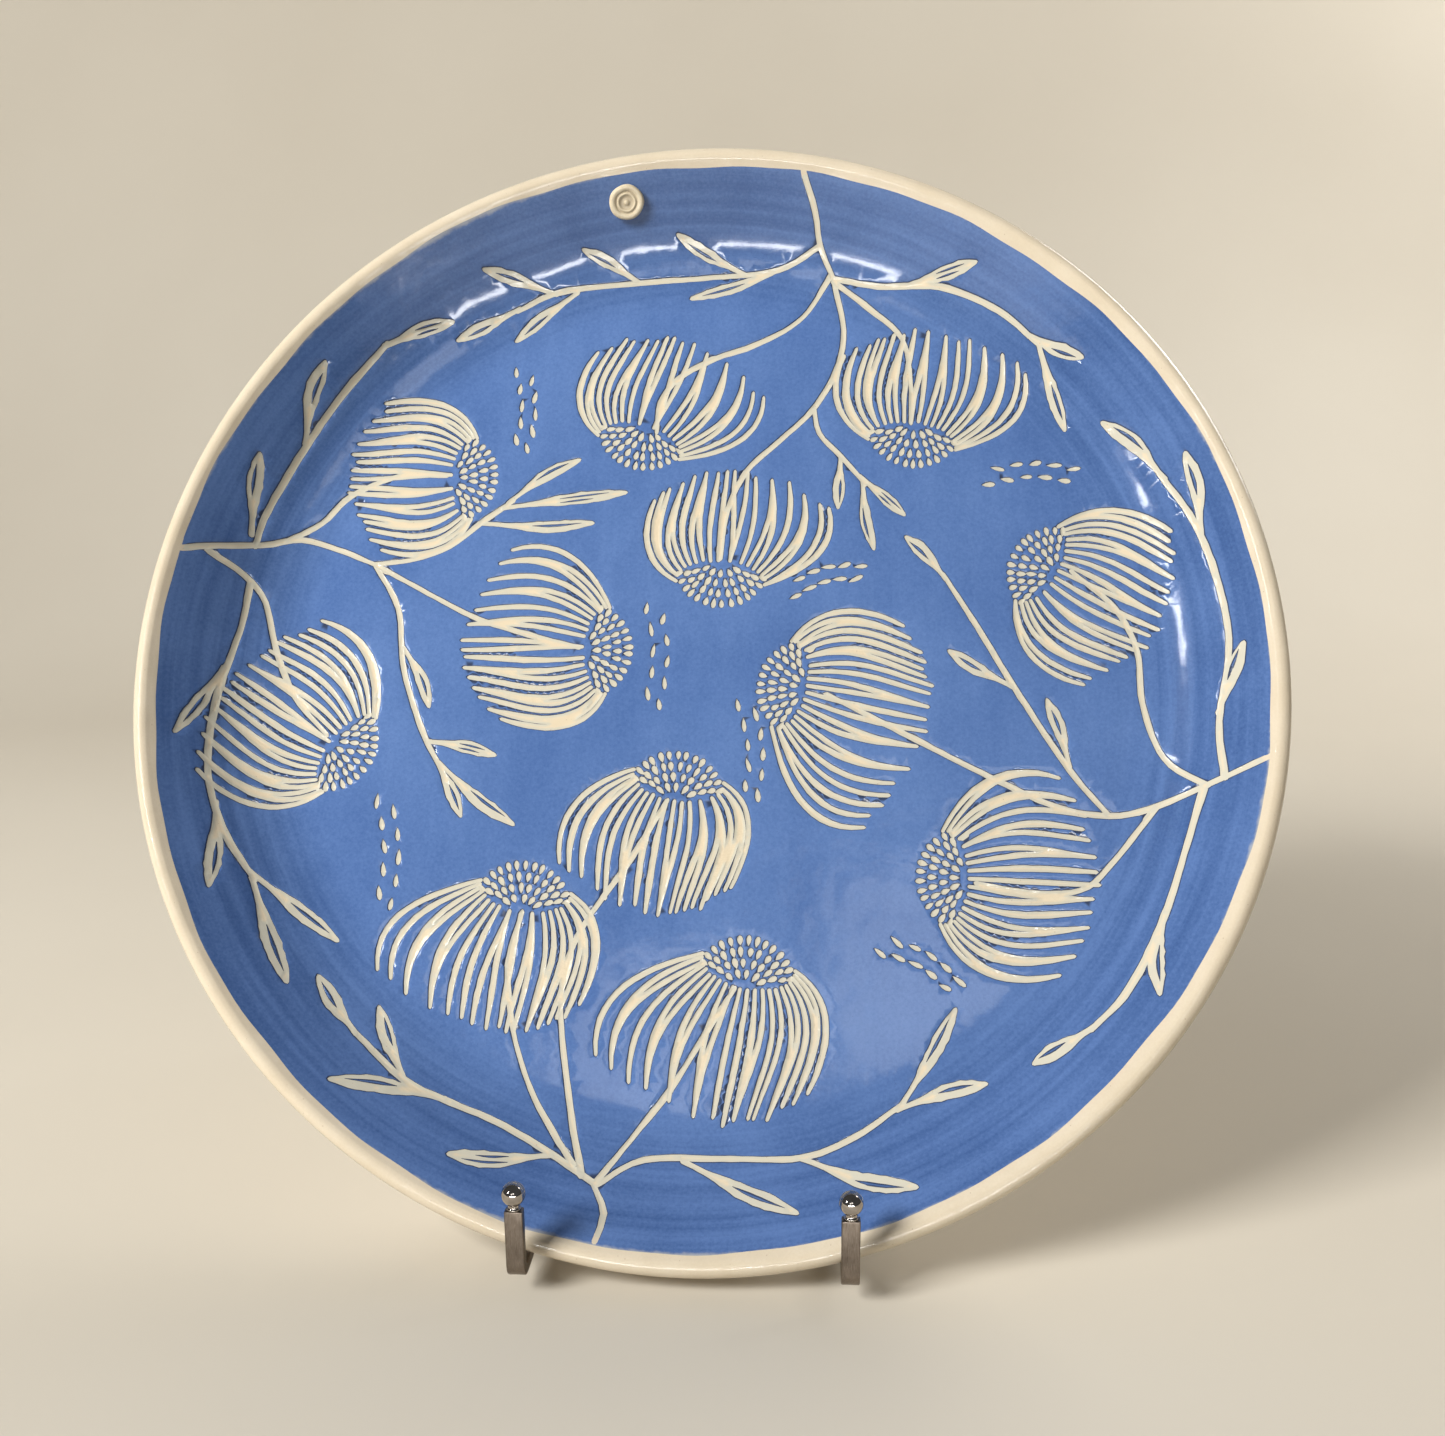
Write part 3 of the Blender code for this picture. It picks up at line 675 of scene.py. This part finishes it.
# %% A wrapper for node outputs
class Flow:
    def __init__(self, tree, socket=None):
        self.tree, self.socket = tree, socket

    def add(self, kind, settings=None, inputs=None, output=0):
        node = self.tree.nodes.new("ShaderNode" + kind)
        for key, value in (settings or {}).items():
            if key == "stops":
                stops = node.color_ramp.elements
                stops[0].position, stops[-1].position = value[0][0], value[-1][0]
                for place, _ in value[1:-1]:
                    stops.new(place)
                for stop, (_, colour) in zip(stops, value):
                    stop.color = colour
            else:
                setattr(node, key, value)
        for key, value in (inputs or {}).items():
            if isinstance(value, Flow):
                self.tree.links.new(value.socket, node.inputs[key])
            else:
                node.inputs[key].default_value = value
        return Flow(self.tree, node.outputs[output])

    def sum(self, operation, *values):
        return self.add("Math", {"operation": operation}, dict(enumerate(values)))

    def __add__(self, other):
        return self.sum("ADD", self, other)

    def __sub__(self, other):
        return self.sum("SUBTRACT", self, other)

    def __rsub__(self, other):
        return self.sum("SUBTRACT", other, self)

    def __mul__(self, other):
        return self.sum("MULTIPLY", self, other)

    __radd__, __rmul__ = __add__, __mul__

    def between(self, low, high):
        """0 below low, 1 above high, and a soft step from one to the other."""
        settings = {"interpolation_type": "SMOOTHSTEP"}
        return self.add("MapRange", settings, {"Value": self, "From Min": low, "From Max": high})

    def mix(self, first, second):
        """The second colour where this mask is 1, the first where it is 0."""
        return self.add("Mix", {"data_type": "RGBA"}, {0: self, 6: first, 7: second}, 2)

    def noise(self, size, detail=3, rough=0.5):
        inputs = {"Vector": self, "Scale": 1 / size, "Detail": detail, "Roughness": rough}
        return self.add("TexNoise", {}, inputs)

    def cells(self, size):
        return self.add("TexVoronoi", {}, {"Vector": self, "Scale": 1 / size})

    def stretched(self, scale, turn=0):
        """The same place with each direction stretched, after a turn about z."""
        rotation = (0, 0, math.radians(turn))
        return self.add("Mapping", {}, {"Vector": self, "Scale": scale, "Rotation": rotation})

    def bump(self, strength, depth, under=None):
        inputs = {"Height": self, "Strength": strength, "Distance": depth}
        if under:
            inputs["Normal"] = under
        return self.add("Bump", {}, inputs)


def colour(red, green, blue):
    """A colour as painters' charts give it, 0 to 255, made linear for the shader."""
    return (*(((c / 255 + 0.055) / 1.055) ** 2.4 for c in (red, green, blue)), 1)


def new_finish(name):
    """A material, its start and its surface shader."""
    material = bpy.data.materials.new(name)
    material.use_nodes = True
    return material, Flow(material.node_tree), material.node_tree.nodes["Principled BSDF"]


def feed(shader, **values):
    """Set the shader's sockets: links for what varies, plain values for the rest."""
    for key, value in values.items():
        socket = shader.inputs[key.replace("_", " ")]
        if isinstance(value, Flow):
            value.tree.links.new(value.socket, socket)
        else:
            socket.default_value = value


def plate_place(start):
    """Object coordinates turned back onto the plate's own axes, in millimetres."""
    place = start.add("TexCoord", {}, {}, "Object")
    settings = {"vector_type": "TEXTURE"}
    inputs = {"Vector": place, "Location": seat, "Rotation": (math.pi / 2 - LEAN, 0, 0), "Scale": (MM,) * 3}
    return start.add("Mapping", settings, inputs)


def length_of(place):
    flat = place.add("VectorMath", {"operation": "MULTIPLY"}, {0: place, 1: (1, 1, 0)})
    return place.add("VectorMath", {"operation": "LENGTH"}, {0: flat}, "Value")


# %% [markdown]
# ## Blue slip
# Slip is liquid clay with a blue stain, laid on with a wide soft brush. It is never one
# blue: it is thinner along brush marks that go round the wall and slant across the
# floor, and it has a fine mottle. The wall is painted a darker blue than the floor, as
# painted shade. Along each cut the blue is darker, partly where the glaze runs thick and
# partly as painted shade on the step down into the cut. Near the rim the brush ran dry
# and the cream shows through.

# %% Slip finish
slip_finish, start, shader = new_finish("blue_slip")
place = plate_place(start)
radius_here = length_of(place)
mottle = place.noise(1.1, 4, 0.65)
clouds = place.noise(46, 3, 0.55)
slanted = place.stretched((0.11, 0.014, 1), 34).noise(1, 4, 0.6)
around = place.add("CombineXYZ", {}, {0: radius_here * 0.33, 1: 0.0, 2: 0.0})
bearing = place.add("VectorMath", {"operation": "NORMALIZE"}, {0: place.stretched((1, 1, 0))})
around = place.add("VectorMath", {"operation": "MULTIPLY_ADD"}, {0: bearing, 1: (1.3, 1.3, 0), 2: around})
ringed = around.noise(1, 3, 0.6)
on_wall = radius_here.between(140, 168)
brushed = (slanted * 0.35 + 0.33) * (1 - on_wall) + ringed * on_wall
tone = (mottle - 0.5) * 0.6 + (clouds - 0.5) * 0.6 + (brushed - 0.5) * 0.8 + 0.5
blue = tone.between(0.1, 0.9).mix(colour(72, 104, 162), colour(104, 136, 192))
# Painted shade: the wall gets a darker blue than the floor, for the shade that the wall is in.
blue = (on_wall * 0.7).mix(blue, tone.between(0.1, 0.9).mix(colour(56, 84, 134), colour(94, 124, 178)))
# Darker blue along each cut: partly glaze pooling there, partly painted shade on the cut's step.
edge = start.add("Attribute", {"attribute_name": "cut_edge"}, {}, "Fac")
blue = (edge.between(0.0, 0.6) * 0.92).mix(blue, colour(54, 62, 84))
dry = (radius_here + (place.noise(5, 3, 0.6) - 0.5) * 2.2).between(191.7, 193.0)
blue = (dry * 0.6).mix(blue, colour(196, 196, 190))
specks = place.cells(2.6).between(0.035, 0.06)
blue = ((1 - specks) * 0.35).mix(blue, colour(40, 46, 70))
waves = place.noise(22, 2, 0.45) * 0.26 + place.noise(4, 2, 0.5) * 0.022
slip_bump = waves.bump(1, 0.0016, (brushed * 0.6 + mottle * 0.4).bump(0.3, 0.00008))
feed(shader, Base_Color=blue, Roughness=0.09 + mottle * 0.05, IOR=1.5, Normal=slip_bump)

# %% [markdown]
# ## Cream clay
# The clay body is a warm cream under clear glaze. In the cut lines the glaze pools along
# the edges and looks a little green and grey there, and the middle of a wide line stays
# warm. The lip is plain cream with faint iron specks. The ring that the plate stands on was
# wiped clean for the kiln shelf, so it is dry and rough. The turning tool left faint rings
# on the back.

# %% Clay finish
clay_finish, start, shader = new_finish("cream_clay")
place = plate_place(start)
height_here = place.add("SeparateXYZ", {}, {0: place}, 2)
warm = start.add("Attribute", {"attribute_name": "line_middle"}, {}, "Fac")
grain = place.noise(0.9, 4, 0.7)
patches = place.noise(18, 3, 0.5)
cream = (patches * 0.6 + grain * 0.4).between(0.25, 0.75).mix(colour(218, 203, 177), colour(228, 215, 192))
in_lines = warm.between(0.2, 1.0).mix(colour(212, 207, 189), colour(230, 214, 184))
cream = warm.between(-0.5, -0.4).mix(cream, in_lines)
iron = place.cells(3.2).between(0.04, 0.075)
cream = ((1 - iron) * 0.4).mix(cream, colour(150, 112, 72))
bare = 1 - height_here.between(0.3, 0.6)
cream = bare.mix(cream, grain.between(0.2, 0.8).mix(colour(196, 170, 132), colour(222, 200, 166)))
pits = place.cells(0.7)
turned = start.add("CombineXYZ", {}, {0: length_of(place) * 0.4}).noise(1, 3, 0.6)
under = (grain + pits * (bare * 2 + 0.15) + turned * 3.0).bump(0.5, 0.0001)
clay_bump = (place.noise(14, 2, 0.5) * 0.6).bump(1, 0.0008, under)
feed(shader, Base_Color=cream, Roughness=0.1 + grain * 0.06 + bare * 0.62, IOR=1.5, Normal=clay_bump)

# %% [markdown]
# ## The slip coat as a piece
# The coat is its top, the same shape again underneath, and a knife edge where they meet at each
# cut. The underside dips very slightly into the clay, as fused slip does, so that no
# light gets between them.

# %% Slip coat
def surface(faces, lifts):
    """A bmesh of some of the face's triangles, and the points it uses."""
    used = np.unique(faces)
    flat = points[used]
    solid = thrown(flat, face_height(radius[used]) + lifts[used])
    bm = bmesh.new()
    verts = [bm.verts.new(p) for p in solid]
    number = np.zeros(len(points), int)
    number[used] = np.arange(len(used))
    for a, b, c in number[faces]:
        bm.faces.new((verts[a], verts[b], verts[c]))
    return bm, used


def plate_to_world(normals):
    turn = np.array([across, up_plate, out_of_face])
    return normals @ turn


slip_faces = triangles[slip]
coat, used = surface(slip_faces, slip_lift)
top = coat.verts[:]
copy_of = bmesh.ops.duplicate(coat, geom=coat.faces[:])
under_faces = [item for item in copy_of["geom"] if isinstance(item, bmesh.types.BMFace)]
bmesh.ops.reverse_faces(coat, faces=under_faces)
seam = {}
for vert, index in zip(top, used):
    under = copy_of["vert_map"][vert]
    under.co.z -= slip_lift[index] + 0.05
    if on_cut[index]:
        seam[under] = vert
bmesh.ops.weld_verts(coat, targetmap=seam)
coat_piece = finish_piece(
    "carved_slip_coat", coat, "plate", slip_finish, ["blue_slip_coat"], PLATE
)
below = len(coat_piece.data.vertices) - len(used)
normals = plate_to_world(face_normals(points, slip_lift, slip_faces)[used])
normals = np.vstack([normals, np.tile(-out_of_face, (below, 1))])
coat_piece.data.normals_split_custom_set_from_vertices(normals)
# How near each point of the slip is to a cut. Its finish paints the blue darker there, partly for glaze pooling
# and partly as painted shade.
edge_here = np.where(radius < RELIEF_R, 1 - np.clip(to_cut / BEVEL, 0, 1), 0)
standing_edges = edges[standing.all(axis=1)]
for near, far in (standing_edges.T, standing_edges.T[::-1]):
    reach = np.maximum(to_cut[far] / (2 * BEVEL), 1)
    np.minimum.at(edge_here, near, reach**-1.5)
share(coat_piece.data, "cut_edge", np.concatenate([edge_here[used], np.zeros(below)]))

# %% [markdown]
# ## The clay body
# Under the slip is the thrown plate itself. Its face is the same triangulation, pressed in
# along the lines. The lip, the back and the ring that it stands on are a profile spun round the
# middle, in as many steps as the face has points on its border, so that the two weld
# into one closed skin.

# %% Clay body
face, used = surface(triangles, press_in)
border = kdtree.KDTree(len(face.verts))
face_verts = face.verts[:]
for i, vert in enumerate(face_verts):
    border.insert(vert.co, i)
border.balance()

under = 270 + math.degrees(WALL)
profile = arc((LIP_MIDDLE_R, LIP_MIDDLE_Z), LIP_R, 90 + math.degrees(WALL), math.degrees(WALL) - 90, 14)
profile += arc((FLOOR_R, BEND_Z), BEND_R + THICK, under, 270, 12)
profile += [(134, 4), (126.2, 4)] + arc((125, 3), 0.9, 60, 0, 2) + [(125.4, 1.2)]
profile += arc((124.6, 0.8), 0.8, 0, -90, 4) + arc((117.9, 0.8), 0.8, 270, 180, 4)
profile += [(116.6, 3.1), (115.6, 3.9), (112, 4), (70, 4), (30, 4), (0, 4)]
back = spun(profile, TURNS)
flat = np.array([vert.co for vert in back.verts])
for vert, spot in zip(back.verts, thrown(flat[:, :2], flat[:, 2])):
    vert.co = spot
back_mesh = bpy.data.meshes.new("back")
back.to_mesh(back_mesh)
back.free()
face.from_mesh(back_mesh)
bpy.data.meshes.remove(back_mesh)
weld = {}
for vert in face.verts[len(face_verts):]:
    _, index, gap = border.find(vert.co)
    if gap < 0.02:
        weld[vert] = face_verts[index]
print(len(weld), "border points welded")
bmesh.ops.weld_verts(face, targetmap=weld)
bmesh.ops.recalc_face_normals(face, faces=face.faces)
body = finish_piece("thrown_clay_body", face, "plate", clay_finish, ["clay_body"], PLATE)
normals = np.zeros((len(body.data.vertices), 3))
normals[: len(used)] = plate_to_world(face_normals(points, press_in, triangles)[used])
body.data.normals_split_custom_set_from_vertices(normals)
middle = np.full(len(normals), -1.0)
line_here = in_line | (on_cut & (radius < RELIEF_R))
middle[: len(used)] = np.where(line_here, np.clip(to_cut / 1.4, 0, 1), -1)[used]
share(body.data, "line_middle", middle)

# %% [markdown]
# ## The maker's button
# A pea of clay was pressed flat on the painted wall near the top, with a stamp in it. The
# stamp here is a plain ring and a dot. It is spun as a profile with a few uneven
# touches, then tilted onto the wall.

# %% Seal finish and button
seal_finish, start, shader = new_finish("seal_clay")
place = plate_place(start)
grain, patches = place.noise(0.6, 4, 0.6), place.noise(4, 2, 0.5)
stamped = start.add("Attribute", {"attribute_name": "stamped"}, {}, "Fac")
cream = (grain * 0.5 + patches * 0.5).between(0.3, 0.7).mix(colour(216, 200, 168), colour(236, 222, 192))
# The stamp's hollows are coloured darker, the deeper the darker.
cream = (stamped.between(0.1, 0.9) * 0.4).mix(cream, colour(150, 132, 104))
feed(shader, Base_Color=cream, Roughness=0.24 + grain * 0.2, Normal=grain.bump(0.5, 0.0001))

SEAL_R, SEAL_H = 6.7, 2.2
profile = [(0, 1.0), (0.7, 0.98), (1.0, 0.7), (1.3, 0.62), (2.7, 0.66), (3.0, 0.98), (3.35, 1.04)]
profile += [(3.7, 0.72), (4.0, 0.6), (4.3, 0.72), (4.65, 1.06)]
profile += arc((SEAL_R - 1.1, 0), 1.1, 78, -90, 9) + [(0, -1.1)]
button = spun(profile, 48)
# How deep each point lies in the stamp, which the finish colours darker.
stamp = []
for vert in button.verts:
    turned = math.atan2(vert.co.y, vert.co.x)
    from_middle = math.hypot(vert.co.x, vert.co.y)
    stamp.append(float(vert.co.z > 0.2 and from_middle < 4.4) * max(0, (1.0 - vert.co.z) / 0.4))
    uneven = 1 - 0.02 * (1 + math.sin(2 * turned + 1)) * from_middle / SEAL_R
    uneven = uneven - 0.012 * (1 + math.sin(5 * turned))
    vert.co.x *= uneven
    vert.co.y *= uneven
SEAL_TURN, SEAL_AT = math.radians(100), 184.5
above = SLIP_THICK - SLIP_DIP + SEAL_H / 2
on_wall_r = SEAL_AT - above * math.sin(WALL)
spot = (on_wall_r * math.cos(SEAL_TURN), on_wall_r * math.sin(SEAL_TURN),
        float(face_height(SEAL_AT)) + above * math.cos(WALL))
seal_place = PLATE @ Matrix.Translation(spot) @ Matrix.Rotation(SEAL_TURN, 4, "Z")
seal_place = seal_place @ Matrix.Rotation(-WALL, 4, "Y")
seal = finish_piece(
    "stamped_clay_button", button, "plate", seal_finish, ["maker_seal"], seal_place
)
share(seal.data, "stamped", stamp)

# %% [markdown]
# ## Metal and rubber
# The stand is flat steel strip with a brushed nickel plate. Brushing leaves fine scratches
# along each bar, so the pattern is stretched along the bars, which lean like the plate. The
# balls are polished, the bolt and washers have a dull zinc plate, and the feet are moulded
# rubber with a fine matt skin.

# %% Metal and rubber finishes
def brushed_metal(name, dark, light, turn):
    material, start, shader = new_finish(name)
    place = start.add("TexCoord", {}, {}, "Object")
    settings = {"vector_type": "TEXTURE"}
    inputs = {"Vector": place, "Rotation": (turn, 0, 0), "Scale": (MM, 14 * MM, MM)}
    scratches = start.add("Mapping", settings, inputs).noise(0.16, 3, 0.7)
    cloud = start.add("Mapping", settings, {"Vector": place, "Scale": (MM,) * 3}).noise(7, 3, 0.6)
    tone = (scratches * 0.6 + cloud * 0.4).between(0.25, 0.75)
    feed(
        shader, Base_Color=tone.mix(dark, light), Metallic=1.0,
        Roughness=0.24 + scratches * 0.14 + cloud * 0.1, Normal=scratches.bump(0.3, 0.00004),
    )
    return material


NICKEL = colour(100, 90, 81), colour(150, 138, 126)
brushed_nickel = brushed_metal("brushed_nickel", *NICKEL, math.pi / 2 - LEAN)
hook_nickel = brushed_metal("hook_nickel", *NICKEL, math.pi / 2)
rear_nickel = brushed_metal("rear_leg_nickel", *NICKEL, math.pi / 2 + math.radians(12))

bright_nickel, start, shader = new_finish("bright_nickel")
place = start.add("TexCoord", {}, {}, "Object")
haze = place.noise(0.004, 3, 0.6)
wiped = place.noise(0.0006, 2, 0.5)
feed(
    shader, Base_Color=haze.between(0.3, 0.7).mix(colour(168, 160, 152), colour(190, 183, 176)), Metallic=1.0,
    Roughness=0.045 + haze * 0.05, Normal=wiped.bump(0.05, 0.00001),
)

plain_steel, start, shader = new_finish("plain_steel")
place = start.add("TexCoord", {}, {}, "Object")
crystals = place.cells(0.0006)
dull = place.noise(0.002, 4, 0.6)
grey = (crystals * 0.5 + dull * 0.5).between(0.2, 0.8)
feed(
    shader, Base_Color=grey.mix(colour(150, 150, 148), colour(198, 198, 196)), Metallic=1.0,
    Roughness=0.3 + dull * 0.18, Normal=crystals.bump(0.2, 0.00004),
)

dark_rubber, start, shader = new_finish("dark_rubber")
place = start.add("TexCoord", {}, {}, "Object")
skin, dust = place.noise(0.0004, 3, 0.6), place.noise(0.006, 3, 0.6)
feed(
    shader, Base_Color=dust.between(0.35, 0.8).mix(colour(30, 30, 31), colour(58, 57, 55)),
    Roughness=0.62 + skin * 0.2, Normal=skin.bump(0.4, 0.00008),
)

FINISHES = (
    (brushed_nickel, "left_leg_bar right_leg_bar lower_cross_bar upper_cross_bar"),
    (brushed_nickel, "left_hinge_ear right_hinge_ear"),
    (rear_nickel, "rear_leg_bar rear_leg_knuckle"),
    (plain_steel, "hinge_bolt hinge_nut left_hinge_washer right_hinge_washer"),
    (dark_rubber, "left_front_foot_cap right_front_foot_cap rear_foot_cap"),
)
for material, names in FINISHES:
    for name in names.split():
        for place_for in nodes[name].material_slots:
            place_for.material = material

# %% [markdown]
# ## The two hooks
# Each hook is one strip: it leaves the leg as a level arm under the rim, bends up in
# front of it, and ends in a polished ball on a short neck. A strip's cross section pushed
# out, swung round the bend and pushed up makes exactly that, and a small bevel breaks its
# long edges. The lengths come from the box of the solid that it stands for.

# %% Hook strips
STRIP, BEND_IN, SOFT_EDGE = 3.5, 2, 0.45


def hook_strip(node):
    low, high = (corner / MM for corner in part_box(node))
    bm = bmesh.new()
    middle_x = (low.x + high.x) / 2
    half = (high.x - low.x) / 2
    back_y, top = high.y - STRIP * math.tan(LEAN), low.z + STRIP
    corners = [(-half, back_y, low.z), (half, back_y, low.z), (half, high.y, top), (-half, high.y, top)]
    end = bm.faces.new([bm.verts.new((middle_x + x, y, z)) for x, y, z in corners])
    pushed = bmesh.ops.extrude_face_region(bm, geom=[end])["geom"]
    front = [item for item in pushed if isinstance(item, bmesh.types.BMVert)]
    turn_y = low.y + STRIP + BEND_IN
    for vert in front:
        vert.co.y = turn_y
    front_face = [item for item in pushed if isinstance(item, bmesh.types.BMFace)]
    turned = bmesh.ops.spin(
        bm, geom=front_face, cent=(middle_x, turn_y, low.z + STRIP + BEND_IN), axis=(1, 0, 0), dvec=(0, 0, 0),
        angle=-math.pi / 2, steps=10,
    )["geom_last"]
    upright = [item for item in turned if isinstance(item, bmesh.types.BMFace)]
    bmesh.ops.delete(bm, geom=front_face, context="FACES_ONLY")
    pushed = bmesh.ops.extrude_face_region(bm, geom=upright)["geom"]
    bmesh.ops.delete(bm, geom=upright, context="FACES_ONLY")
    for item in pushed:
        if isinstance(item, bmesh.types.BMVert):
            item.co.z = high.z
    bmesh.ops.remove_doubles(bm, verts=bm.verts, dist=1e-4)
    bmesh.ops.recalc_face_normals(bm, faces=bm.faces)
    sharp = [edge for edge in bm.edges if len(edge.link_faces) == 2 and edge.calc_face_angle() > 1]
    bmesh.ops.bevel(
        bm, geom=sharp, offset=SOFT_EDGE, affect="EDGES", segments=3, profile=0.5, material=-1
    )
    return bm


for side in ("left", "right"):
    node = f"{side}_hook_bar"
    strip = hook_strip(node)
    finish_piece(
        f"{side}_bent_hook", strip, "stand_frame", hook_nickel, [node],
        Matrix.Scale(MM, 4),
    )

# %% [markdown]
# ## The balls
# A ball is half a circle spun round, with a waisted neck and a small collar where it is
# screwed into the strip. It needs many steps, because a mirror shows every corner.

# %% Ball tips
BALL_R, NECK_R = 3.78, 1.9
for side in ("left", "right"):
    node = f"{side}_ball_tip"
    low, high = (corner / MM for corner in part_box(node))
    middle_z = (high.z - low.z) - BALL_R - 0.02
    profile = arc((0, middle_z), BALL_R, 90, -57, 26) + [(NECK_R, 1.45), (NECK_R, 0.8), (2.1, 0.62)]
    profile += [(2.3, 0.4), (2.3, 0.12), (2.2, 0), (0, 0)]
    ball = spun(profile, 56)
    foot = ((low.x + high.x) / 2, (low.y + high.y) / 2, low.z)
    ball_place = Matrix.Scale(MM, 4) @ Matrix.Translation(foot)
    finish_piece(
        f"{side}_polished_ball", ball, "stand_frame", bright_nickel, [node], ball_place
    )

# %% [markdown]
# ## Floor and light
# The floor is a plain pale sweep that curves up behind the plate, so that no edge shows from
# the front.
# One large soft light high on the left in front does most of the work, as a tall window
# would. A weak one fills from the right, and one from behind on the right draws the edges.
# Four more light nothing and are only seen in the glaze: a low strip and a narrow card make
# the bright bands along the bend, and two panes make the pale patches on the plate's floor.

# %% Floor
def sweep():
    bm = bmesh.new()
    curve = np.linspace(0.1, math.pi / 2, 12)
    line = [(-3.0, 0.0), (0.7, 0.0)]
    line += [(0.7 + 0.6 * math.sin(a), 0.6 - 0.6 * math.cos(a)) for a in curve]
    line.append((1.3, 3.0))
    verts = [bm.verts.new((-3, y, z)) for y, z in line]
    chain = [bm.edges.new(pair) for pair in zip(verts, verts[1:])]
    moved = bmesh.ops.extrude_edge_only(bm, edges=chain)["geom"]
    bmesh.ops.translate(bm, verts=[v for v in moved if isinstance(v, bmesh.types.BMVert)], vec=(6, 0, 0))
    bmesh.ops.recalc_face_normals(bm, faces=bm.faces)
    return bm


floor_finish, start, shader = new_finish("pale_floor")
place = start.add("TexCoord", {}, {}, "Object")
cloud = place.noise(0.5, 3, 0.5).between(0.2, 0.8)
feed(shader, Base_Color=cloud.mix(colour(203, 195, 180), colour(209, 202, 188)), Roughness=0.75)
floor_mesh = bpy.data.meshes.new("floor")
bm = sweep()
bm.to_mesh(floor_mesh)
bm.free()
floor_mesh.materials.append(floor_finish)
floor_mesh.polygons.foreach_set("use_smooth", [True] * len(floor_mesh.polygons))
floor = bpy.data.objects.new("floor", floor_mesh)
scene.collection.objects.link(floor)

# %% Lights
def soft_light(name, place, aim, size, power, tint, shows=None):
    """A rectangle of light. With shows="glaze" it is only reflected, with "shade" it never is."""
    data = bpy.data.lights.new(name, "AREA")
    data.shape, data.size, data.size_y = "RECTANGLE", *size
    data.energy, data.color = power, tint
    light = bpy.data.objects.new(name, data)
    turn = (Vector(aim) - Vector(place)).to_track_quat("-Z", "Y")
    light.matrix_world = Matrix.Translation(place) @ turn.to_matrix().to_4x4()
    light.visible_camera = False
    light.visible_diffuse = shows != "glaze"
    light.visible_glossy = shows != "shade"
    scene.collection.objects.link(light)


PLATE_MIDDLE = (0, 0, 0.18)
WHITE = (1, 1, 1)
soft_light("window", (-1.42, -1.25, 1.42), PLATE_MIDDLE, (0.8, 0.8), 66, (1.0, 0.985, 0.96), "shade")
soft_light("fill", (1.6, -1.2, 0.9), PLATE_MIDDLE, (1.4, 1.2), 1.4, (1.0, 0.97, 0.93), "shade")
soft_light("from_behind", (1.1, 0.8, 1.05), PLATE_MIDDLE, (0.9, 0.7), 13, (1.0, 0.98, 0.95))
soft_light("low_strip", (0.05, -1.6, 0.10), (0.05, 0, 0.25), (1.5, 0.1), 13, WHITE, "glaze")
soft_light("left_card", (-0.86, -0.83, 0.71), PLATE_MIDDLE, (0.08, 0.34), 2.8, WHITE, "glaze")
soft_light("front_pane_left", (-0.2, -1.6, 0.71), PLATE_MIDDLE, (0.3, 0.34), 0.8, WHITE, "glaze")
soft_light("front_pane_right", (0.26, -1.6, 0.86), PLATE_MIDDLE, (0.4, 0.4), 1.1, WHITE, "glaze")
world = bpy.data.worlds.new("room")
world.use_nodes = True
background = world.node_tree.nodes["Background"].inputs
background["Color"].default_value = (0.95, 0.97, 1.0, 1)
background["Strength"].default_value = 0.09
scene.world = world
